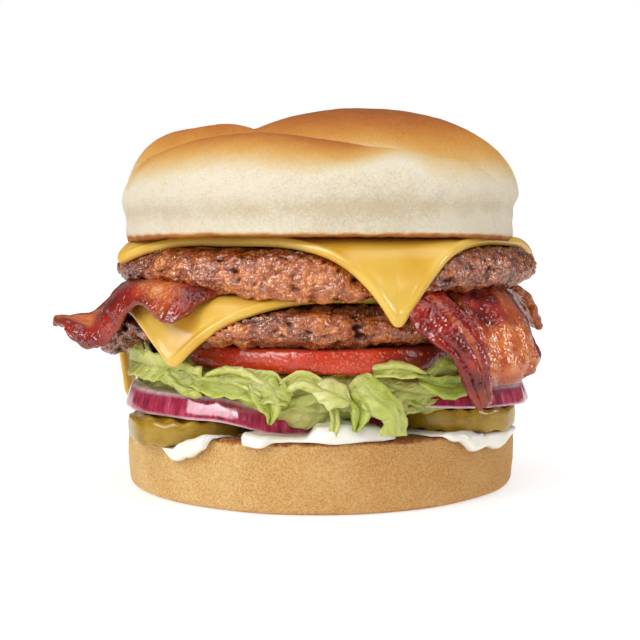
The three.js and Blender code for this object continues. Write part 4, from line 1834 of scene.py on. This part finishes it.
@dataclass
class Mayonnaise:
    """Thick sauce that covers the heel and hangs over its edge in drips."""

    bed: float = 17.9
    wall: float = 53.6
    bend: float = 1.0
    lip: float = 2.2
    around: int = 420
    rows: int = 32
    seed: int = 83
    runs: tuple[tuple[float, float], ...] = (
        (0, 50), (14, 54), (30, 56.5), (44, 50), (62, 53), (80, 46), (100, 52), (112, 57.5), (125, 52), (140, 49),
        (158, 54.5), (172, 48), (190, 44), (212, 44), (219, 53), (224, 57), (229.6, 59.6), (234, 58.4), (238.5, 56),
        (241.5, 52.5), (243.5, 46), (246, 45), (248.4, 51.6), (250.2, 54.2), (255, 54.8), (259, 53.6), (263, 52.6),
        (268, 52.8), (274, 53.2), (280, 52.6), (286, 52.8), (290, 51.4), (294, 47), (299, 46), (302, 52), (308, 54.8),
        (314, 57.6), (320, 57), (326, 58.6), (333, 56.6), (338, 53), (345, 47), (360, 50),
    )
    depths: tuple[tuple[float, float], ...] = (
        (0, 1.6), (62, 3.2), (118, 2.8), (160, 2.2), (200, 1.0), (246, 0.5), (248.2, 0.8), (250, 1.7), (256, 1.5),
        (261, 1.0), (266, 1.0), (269.5, 3.3), (275, 3.9), (283, 3.9), (287, 2.9), (290, 1.3), (293, 0.5),
        (345, 1.0), (360, 1.6),
    )
    finish: WhiteSauce = field(default_factory=WhiteSauce)

    def build(self, pickles: Sequence[PickleChip]) -> Piece:
        """Makes the sauce.

        Args:
            pickles: The chips that press into it.

        Returns:
            The finished piece.
        """
        angle = circle(self.around)
        reach = round_table(self.runs, angle) + 0.5 * uneven(3 * angle, 2.2)
        flat = self.wall - self.bend
        outer_share = 0.7 + 0.3 * np.sin(np.linspace(0.05, math.pi / 2, self.rows))
        share = np.concatenate([np.linspace(0.2, 0.7, 6), outer_share])
        walked = share[:, None] * reach
        turned = np.clip((walked - flat) / self.bend, 0, math.pi / 2)
        down = np.maximum(0, walked - flat - self.bend * math.pi / 2)
        radius = np.where(walked < flat, walked, flat + self.bend * np.sin(turned))
        z = self.bed - self.bend * (1 - np.cos(turned)) - down
        left = np.clip((reach - walked) / 1.7, 0, 1)
        bead = np.sqrt(np.clip(1 - (1 - left) ** 2, 0, 1))
        thick = bead * mix(round_table(self.depths, angle) * np.ones_like(walked), self.lip, np.sin(turned))
        under = round_axis(radius, angle, z)
        thick = thick * (1 + 0.34 * Grain(self.seed).layered(under, 6, 3))
        over = round_axis(radius + thick * np.sin(turned), angle, z + thick * np.cos(turned))
        skin = ring_skin(np.concatenate([under, over[::-1]]))
        for pickle in pickles:
            skin.points[:, 2] = np.minimum(skin.points[:, 2], pickle.underside(skin.points))
        return skin.fit("mayonnaise_film", self.finish.make(), Slot.MAYONNAISE, "mayonnaise")


@dataclass(frozen=True)
class Shred:
    """One strip of leaf: its middle line in millimetres, its widths along it, and how it is folded."""

    path: tuple[tuple[float, float, float], ...]
    widths: tuple[float, ...]
    face: tuple[float, float, float] = (0, -1, 0.25)
    green: float = 0.5
    pleats: float = 1.3
    fold: float = 0.9
    twist: float = 0.0
    seed: int = 0

    FEWEST, SPACING, ROWS = 12, 0.82, 11  # points along a strip, the gap between them, and points across it
    THICKNESS = 0.5

    def skin(self, grain: Grain) -> Skin:
        """Makes the strip's closed skin.

        Args:
            grain: The heap's noise.

        Returns:
            The skin, painted with how green it is and with painted shade along its veins.
        """
        length = sum(math.dist(a, b) for a, b in zip(self.path[:-1], self.path[1:]))
        columns, rows = max(self.FEWEST, int(length / self.SPACING)), self.ROWS
        line = curve_through(self.path, columns)
        along = unit(np.gradient(line, axis=0))
        side = unit(np.cross(along, np.asarray(self.face, float)))
        out = np.cross(side, along)
        u = np.linspace(0, 1, columns)
        turn = (self.twist * (u - 0.5))[:, None]
        side, out = side * np.cos(turn) + out * np.sin(turn), out * np.cos(turn) - side * np.sin(turn)
        across = np.linspace(-0.5, 0.5, rows)[:, None]
        shift = 40.0 * self.seed  # gives each strip its own part of the noise
        torn = 1 + 0.34 * grain.layered(line[None] + shift + 300 * np.sign(across)[..., None], 2.2, 3, 0.7)
        width = np.interp(u, np.linspace(0, 1, len(self.widths)), self.widths) * torn
        middle = line[None] + (across * width)[..., None] * side[None]
        phase = across * self.pleats + 0.25 * grain.layered(line + shift, 9, 2) + 0.37 * self.seed
        pleat = self.fold * (np.abs((phase % 1) - 0.5) * 4 - 1)
        rumple = 0.8 * grain.layered(middle + shift, 4.5, 3, 0.6) + 0.5 * grain.layered(middle + 11 + shift, 1.7, 2)
        edge = 0.8 * (2 * np.abs(across)) ** 3 * grain.layered(middle + 7 + shift, 3.0, 2)
        middle = middle + (pleat + rumple + edge)[..., None] * out[None]
        skin = sheet_skin(middle, self.THICKNESS, 2)
        grown = self.green + 0.3 * grain.layered(skin.points + 13 * self.seed, 7, 3)
        spread = skin.paint["v"] - 0.5
        walk = skin.paint["u"] * length / 3.6 + 1.6 * np.abs(spread) + 0.31 * self.seed
        branch = np.abs(((walk + 0.35 * grain.layered(skin.points + shift, 4, 2)) % 1) - 0.5)
        # Veins, painted as shade lines and pressed in as grooves.
        vein = np.maximum(0.7 * bell(branch, 0.09), bell(spread, 0.07))
        skin.paint = {"green": np.clip(grown, 0, 1), "vein": vein}
        return skin


TO_LEFT, TO_RIGHT = (-0.55, -0.8, 0.15), (0.5, -0.85, 0.2)
FRONT_SHREDS = (
    Shred(((-49.5, -20, 34.2), (-45, -30, 34.4), (-37, -39.5, 33.6), (-28.5, -45.5, 32)), (6.5, 7, 7, 6), TO_LEFT,
          green=0.42, pleats=0.9, seed=1),
    Shred(((-37, -39, 34), (-35.5, -41, 32), (-33, -43, 30.4), (-28, -46, 29.6)), (4, 6, 6, 4), TO_LEFT, seed=2),
    Shred(((-31, -44, 32), (-24, -48, 31.2), (-18, -50.5, 31.4), (-12, -52, 30.6), (-7, -52.5, 28)),
          (4, 6.5, 7.5, 8, 3), (-0.25, -1, 0.3), pleats=1.7, fold=1.1, seed=3),
    Shred(((-14, -51, 32.5), (-12.5, -52.5, 28.5), (-11.5, -53, 25), (-12, -53, 22.3)), (7, 7, 5, 0.8), green=0.55,
          twist=0.5, seed=4),
    Shred(((-2.2, -51, 31.2), (1, -52.5, 30.4), (4.5, -53, 29), (7.2, -53, 27.4)), (2, 7.5, 7.5, 2), (0, -1, 0.6),
          green=0.3, pleats=1.0, fold=0.5, seed=5),
    Shred(((3.2, -51.5, 27), (3.6, -53.2, 23), (2.9, -53.6, 18.6)), (2.2, 2.3, 2.0), green=0.4, pleats=0.8,
          fold=0.3, seed=6),
    Shred(((7, -51, 28.5), (9.6, -52.6, 25.5), (8.2, -53, 20.6)), (2.5, 5.4, 1), green=0.75, twist=0.6, seed=7),
    Shred(((8.6, -50, 33.2), (12.8, -52, 28.8), (17.4, -53.4, 24.5), (17.6, -53.8, 19.6)), (6, 6.8, 6.6, 6.4),
          (0.2, -1, 0.3), green=0.45, pleats=1.2, twist=0.5, seed=8),
    Shred(((12.6, -49, 34.4), (18.8, -49.5, 35), (25.4, -47.5, 33.3)), (3, 4.6, 1.5), TO_RIGHT, green=0.42, seed=9),
    Shred(((23.5, -47.5, 32.2), (29.4, -46.8, 30.4), (35, -43, 30)), (2, 5.6, 5), TO_RIGHT, green=0.6, pleats=0.8,
          seed=10),
    Shred(((26.5, -44, 33), (30.4, -42.6, 35.4), (34, -40, 34.8)), (2, 3.6, 3), TO_RIGHT, seed=11),
    Shred(((-27, -46, 32.5), (-21, -49, 33.8), (-17, -50.6, 32.4), (-13, -51.5, 30)), (3, 4, 4.2, 3.4), TO_LEFT,
          green=0.3, twist=0.8, seed=12),
    Shred(((-9, -51, 30.5), (-5, -52, 32.6), (-1, -52, 31.4), (2, -51.5, 29)), (3.4, 4.2, 4.4, 3), green=0.25,
          twist=0.7, seed=13),
)


@dataclass
class LettuceHeap:
    """Shredded lettuce: strips of leaf laid over a smaller core."""

    radius: float = 49.5
    low: float = 24.5
    high: float = 39.0
    loose: int = 120
    seed: int = 91

    def loose_shreds(self, draw: np.random.Generator) -> list[Shred]:
        """Strips scattered round the whole heap.

        Args:
            draw: The heap's random numbers.

        Returns:
            The strips.
        """
        shreds = []
        for k in range(self.loose):
            heading = TURN * k / self.loose + draw.uniform(-0.03, 0.03)
            level = draw.uniform(self.low + 2, self.high - (9.5 if math.sin(heading) < -0.35 else 2.5))
            reach = self.radius - draw.uniform(0.4, 4.5)
            turn, drop = draw.uniform(0.12, 0.42) * draw.choice([-1, 1]), draw.uniform(-6, 6)
            path = []
            for share in (-1.0, -0.4, 0.3, 1.0):
                around = heading + share * turn
                far = reach - 3.4 * share**2 + draw.uniform(-0.5, 0.5)
                top = self.high - 6.5 * float(smoothstep(-math.sin(around), 0.1, 0.4))
                z = float(np.clip(level + share * drop + draw.uniform(-1, 1), self.low, top))
                path.append((far * math.cos(around), far * math.sin(around), z))
            width = draw.uniform(4.5, 9)
            face = (math.cos(heading), math.sin(heading), draw.uniform(-0.3, 0.9))
            widths = (0.6 * width, width, width, 0.5 * width)
            folds = {"pleats": draw.uniform(0.7, 1.8), "fold": draw.uniform(0.4, 1.2), "twist": draw.uniform(-1, 1)}
            shreds.append(Shred(tuple(path), widths, face, draw.uniform(0.2, 0.75), seed=20 + k, **folds))
        return shreds

    def build_core(self, material: Material) -> Piece:
        """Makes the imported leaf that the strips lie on.

        Args:
            material: The leaf's finish.

        Returns:
            The finished piece.
        """
        angle = circle(180)
        knots = [(20, 23.5), (36, 25.5), (43, 27.5), (44.5, 31.5), (43.5, 36), (38, 38.6), (20, 39)]
        line = curve_through(knots, 42)
        skin = ring_skin(round_axis(line[:, :1] * (1 + 0.02 * uneven(angle, 6.2)), angle, line[:, 1:]))
        folds = Grain(self.seed).layered(skin.points, (9, 9, 3), 3)
        skin.push(1.6 * folds)
        # The strongest folds get the painted vein shade.
        skin.paint = {"green": 0.45 + 0.3 * folds, "vein": np.abs(folds)}
        return skin.fit("lettuce_core", material, Slot.LETTUCE, "lettuce")

    def build_shreds(self, material: Material) -> Piece:
        """Makes every strip as one piece.

        Args:
            material: The leaf's finish.

        Returns:
            The finished piece.
        """
        grain = Grain(self.seed + 1)
        shreds = [*FRONT_SHREDS, *self.loose_shreds(np.random.default_rng(self.seed))]
        return gather([shred.skin(grain) for shred in shreds]).fit("lettuce_shreds", material, Slot.LETTUCE)


# ---------- the room ----------


@dataclass(frozen=True)
class Lamp:
    """A soft lamp, in metres and watts. One with a height is a window that only shows in reflections."""

    name: str
    place: Place
    width: float
    power: float
    height: float = 0.0
    aim: Place = (0, 0, 0.05)

    def hang(self) -> None:
        """Adds the lamp, facing the burger."""
        lamp = bpy.data.lights.new(self.name, "AREA")
        lamp.size = self.width
        lamp.energy = self.power
        holder = set_up(self.name, lamp)
        holder.location = self.place
        holder.rotation_euler = (Vector(self.aim) - Vector(self.place)).to_track_quat("-Z", "Y").to_euler()
        if self.height:
            lamp.shape, lamp.size_y = "RECTANGLE", self.height
            holder.visible_diffuse = False


@dataclass
class Studio:
    """A white table in soft daylight, and the camera a little above the burger's middle."""

    camera_back: float = 360.0
    camera_height: float = 70.9
    camera_pitch: float = 4.447
    lens: float = 73.9
    sensor: float = 36.0
    nearest: float = 0.01
    sky: float = 0.38
    mirrored_sky: float = 0.16
    top: float = 1.85
    top_spread: float = 70.0
    table_half: float = 4000.0
    table_glow: float = 0.6
    lamps: tuple[Lamp, ...] = (
        Lamp("key_light", (-0.62, -0.68, 0.7), 0.5, 4.2),
        Lamp("left_spark", (-0.28, -0.85, 0.42), 0.07, 0.6),
        Lamp("right_spark", (0.5, -0.8, 0.5), 0.07, 0.6),
        Lamp("window_gloss", (-0.78, -0.7, 0.47), 1.0, 9.0, 0.42),
        Lamp("side_gloss", (0.98, -0.2, 0.4), 0.4, 5.0, 0.42),
    )

    def build_floor(self) -> Piece:
        """Makes the table top.

        Returns:
            The floor.
        """
        corners = np.array([(-1, -1, 0), (1, -1, 0), (1, 1, 0), (-1, 1, 0)]) * self.table_half
        paper = Shader("white_table", Roughness=0.7, Specular_IOR_Level=0.2)
        paper.set("Emission Color", (1.0, 1.0, 1.0))
        paper.set("Emission Strength", self.table_glow)
        tone = paper.span(paper.noise(60, 2), 0.3, 0.7)
        paper.set("Base Color", paper.blend(tone, srgb(188, 188, 188), srgb(192, 192, 192)))
        floor = Skin(corners, np.array([[0, 1, 2, 3]])).build("table_top", paper.material)
        return floor

    def build_sky(self) -> None:
        """Makes the even light from all round, in front of a white backdrop."""
        world = bpy.data.worlds.new("daylight")
        world.use_nodes = True
        sky = Wiring(world.node_tree)
        glossy, seen = (sky.node("LightPath", f"Is {ray} Ray") for ray in ("Glossy", "Camera"))
        level = sky.node("MapRange", "Result", Value=glossy, To_Min=self.sky, To_Max=self.mirrored_sky)
        backdrop = sky.node("MapRange", "Result", Value=seen, To_Min=level, To_Max=1.0)
        background = world.node_tree.nodes["Background"]
        sky.feed(background.inputs["Color"], (1, 1, 1))
        sky.feed(background.inputs["Strength"], backdrop)
        bpy.context.scene.world = world

    def build_camera(self) -> None:
        """Sets the camera at the photograph's angle."""
        lens = bpy.data.cameras.new("camera")
        lens.lens, lens.sensor_width, lens.clip_start = self.lens, self.sensor, self.nearest
        camera = set_up("camera", lens)
        camera.location = (0, -self.camera_back * MM, self.camera_height * MM)
        camera.rotation_euler = (math.radians(90 - self.camera_pitch), 0, 0)
        bpy.context.scene.camera = camera

    def build(self) -> None:
        """Sets the floor, the lights and the camera."""
        self.build_floor()
        self.build_sky()
        for lamp in self.lamps:
            lamp.hang()
        overhead = bpy.data.lights.new("top_light", "SUN")
        overhead.energy, overhead.angle = self.top, math.radians(self.top_spread)
        set_up("top_light", overhead)
        self.build_camera()
        bpy.context.scene.view_settings.view_transform = "Standard"


# ---------- the whole burger ----------


LOWER_PATTY = Patty("patty_lower", -2.8, 0.5, 56.6, 53.4, base=39.9, height=10.2, seed=2.1, droop=7.0, sear=0.2)
UPPER_PATTY = Patty("patty_upper", 2.0, 0.5, 56.4, 53.6, base=53.1, height=10.4, seed=5.3, lip=3.8, sear=0.13)
SLICES = (
    CheeseSlice(
        "cheese_lower", x=-10.0, y=-4.5, turn=-32, bed=50.5, patty=LOWER_PATTY,
        right=Corner(66), back=Corner(60), left=Corner(82, 1.35), front=Corner(82, 0.975),
    ),
    CheeseSlice(
        "cheese_upper", x=5.0, y=-4.0, turn=15.5, bed=63.9, patty=UPPER_PATTY,
        right=Corner(54), back=Corner(70), left=Corner(52), front=Corner(84, 1.075),
    ),
)
PICKLES = (
    PickleChip("pickle_left", x=-32.0, y=-25.0, radius=17.2, thickness=5.9, base=15.4, lean=0.035, crinkle=0.25),
    PickleChip("pickle_right", x=33.5, y=-21.5, radius=17.0, thickness=5.6, base=18.5, lean=0.06, crinkle=-0.1),
    PickleChip("pickle_rear", x=2.0, y=31.0, radius=17.0, thickness=4.6, base=16.6, lean=0.08, crinkle=0.1),
)
ONIONS = (
    OnionRing("onion_left", -13.8, -9.0, 36.9, wall=3.6, base=18.5, height=5.9, lean=0.0, rise=3.2, flare=0.9),
    OnionRing("onion_right", 20.4, -6.0, 34.9, wall=3.6, base=24.9, height=5.0, lean=-0.06, rise=0.0, flare=0.9),
)
STRIPS = (
    BaconStrip(
        "bacon_left",
        rails=(
            ((-12, -34, 54.3), (-27, -46.5, 51.6), (-33, -50.8, 47.2), (-38, -49, 46.6), (-43.3, -42.5, 50.0),
             (-47, -38.8, 48.0), (-49.5, -36.8, 43.6), (-53.5, -33.5, 39.4), (-58, -31.3, 38.0), (-61.8, -29, 39.8),
             (-64.5, -25.5, 42.8), (-69.3, -20, 43.6)),
            ((-12, -29, 54.3), (-25, -39.5, 54.0), (-31.5, -43, 53.9), (-36, -41, 54.0), (-43.5, -36.5, 54.2),
             (-48.2, -34.5, 52.8), (-52.3, -33, 48.6), (-55.5, -31.5, 43.6), (-58.5, -29.5, 42.2),
             (-62.5, -26.5, 43.0), (-65.5, -23.5, 44.2), (-69.4, -18.8, 44.0)),
            ((-13, -18, 54.3), (-26, -24, 54.2), (-32.5, -24, 54.2), (-37.5, -24, 54.2), (-44, -22, 54.2),
             (-49.5, -21.5, 53.0), (-53.8, -21, 49.0), (-57.5, -20.5, 44.6), (-60.5, -20, 43.2), (-63.5, -19, 43.6),
             (-66.5, -18, 44.4), (-69.6, -17, 44.2)),
            ((-14, -10, 54.3), (-27, -12, 54.2), (-34, -12, 54.2), (-40, -10, 54.2), (-46, -9, 54.2),
             (-51, -9, 53.6), (-54.6, -9.5, 51.0), (-57.2, -10, 48.2), (-60.5, -11, 46.4), (-64, -12, 45.4),
             (-67, -13.5, 44.6), (-69.6, -15.8, 44.2)),
        ),
        streaks=(
            Streak(0.6, 0.5, start=0.6, end=0.97),
            Streak(0.5, 0.8, 0.8, 0.24, 0.35),
            Streak(0.6, 0.12, 0.6, 0.36, 0.62),
        ),
        seed=101,
    ),
    BaconStrip(
        "bacon_front",
        rails=(
            ((6, -30, 54.4), (12, -41, 54.2), (17, -49, 52.6), (20.2, -52.2, 48.6), (22.6, -53.2, 45.0),
             (26.5, -54, 41.4), (30.2, -54, 39.0), (32.8, -53.4, 35.4), (35, -52.2, 30.2), (38, -50.5, 25.6)),
            ((14, -28, 54.4), (18.8, -38.5, 54.2), (23, -46.5, 53.2), (26.2, -50.6, 50.2), (28.8, -52.6, 47.2),
             (31.8, -53.6, 44.0), (34.6, -54, 40.8), (36.5, -53.6, 36.8), (38, -52.6, 31.6), (39.4, -51, 26.4)),
            ((22, -26, 54.4), (25.5, -35.5, 54.2), (29, -43, 53.2), (32, -47, 50.4), (34.4, -49, 48.4),
             (36.6, -50.4, 45.6), (38.3, -51, 42.4), (39.8, -51, 38.0), (40.6, -50.4, 32.6), (40.4, -49.8, 28.0)),
        ),
        streaks=(Streak(0.62, 0.08, 0.35),),
        ruffle=0.35,
        seed=103,
    ),
    BaconStrip(
        "bacon_right",
        rails=(
            ((26, -18, 54.2), (29, -30, 54.0), (31, -38.5, 53.0), (33.6, -43.2, 50.0), (35.6, -45.6, 46.8),
             (37, -47.2, 42.6), (38, -47.9, 38.0), (38.6, -47.8, 33.6), (39, -46.8, 30.6)),
            ((30, -10, 54.4), (36, -19, 54.2), (41, -27, 53.6), (44, -33, 50.8), (46, -36.4, 47.2),
             (47.4, -38.4, 43.0), (48.4, -39.6, 38.6), (48.8, -40, 34.4), (47.6, -40.5, 30.8)),
            ((32, -2, 54.4), (40, -7, 54.2), (46, -12, 53.4), (49.4, -17, 50.6), (51.6, -20.5, 47.4),
             (53.6, -23, 43.6), (55, -25.5, 40.0), (56.2, -28, 36.6), (54.6, -31.5, 33.2)),
        ),
        streaks=(Streak(0.4, 0.8, 0.95, 0.6), Streak(0.62, 0.3, 0.55, 0.34, 0.62)),
        ruffle=0.4,
        seed=107,
    ),
    BaconStrip(
        "bacon_rear",
        rails=(
            ((30, 4, 54.4), (44, 5, 54.2), (55.0, 6, 51.4), (59.5, 7, 45.6), (62.4, 9, 39.8)),
            ((28, 22, 54.4), (40, 23, 54.2), (51.0, 24, 51.6), (56.0, 24.5, 45.8), (58.8, 23.5, 41.2)),
        ),
        streaks=(Streak(0.4, 1.1, start=0.5),),
        seed=109,
    ),
)


def report(piece: Piece) -> None:
    """Logs a finished piece with its number of faces."""
    LOG.info("%s: %d faces", piece.name, len(piece.data.polygons))


def main() -> None:
    """Builds the burger from the heel up, then the room."""
    logging.basicConfig(level=logging.INFO, format="%(name)s %(message)s")
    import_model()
    report(Heel().build(PICKLES[0]))
    report(Mayonnaise().build(PICKLES))
    for parts, finish in ((PICKLES, SourPickle()), (ONIONS, RedOnion())):
        material = finish.make()
        for part in parts:
            report(part.build(material))
    heap, leaf = LettuceHeap(), CrispLeaf().make()
    report(heap.build_core(leaf))
    report(heap.build_shreds(leaf))
    tomato = TomatoSlice()
    report(tomato.build())
    report(WaterDrops(tomato).build())
    beef = SearedBeef().make()
    for cover in SLICES:
        report(cover.patty.build(beef, cover))
    for parts, finish in ((SLICES, MeltedCheese()), (STRIPS, FriedBacon())):
        material = finish.make()
        for part in parts:
            report(part.build(material))
    report(Crown().build())
    Studio().build()
    bpy.context.view_layer.update()


if __name__ == "__main__":
    main()
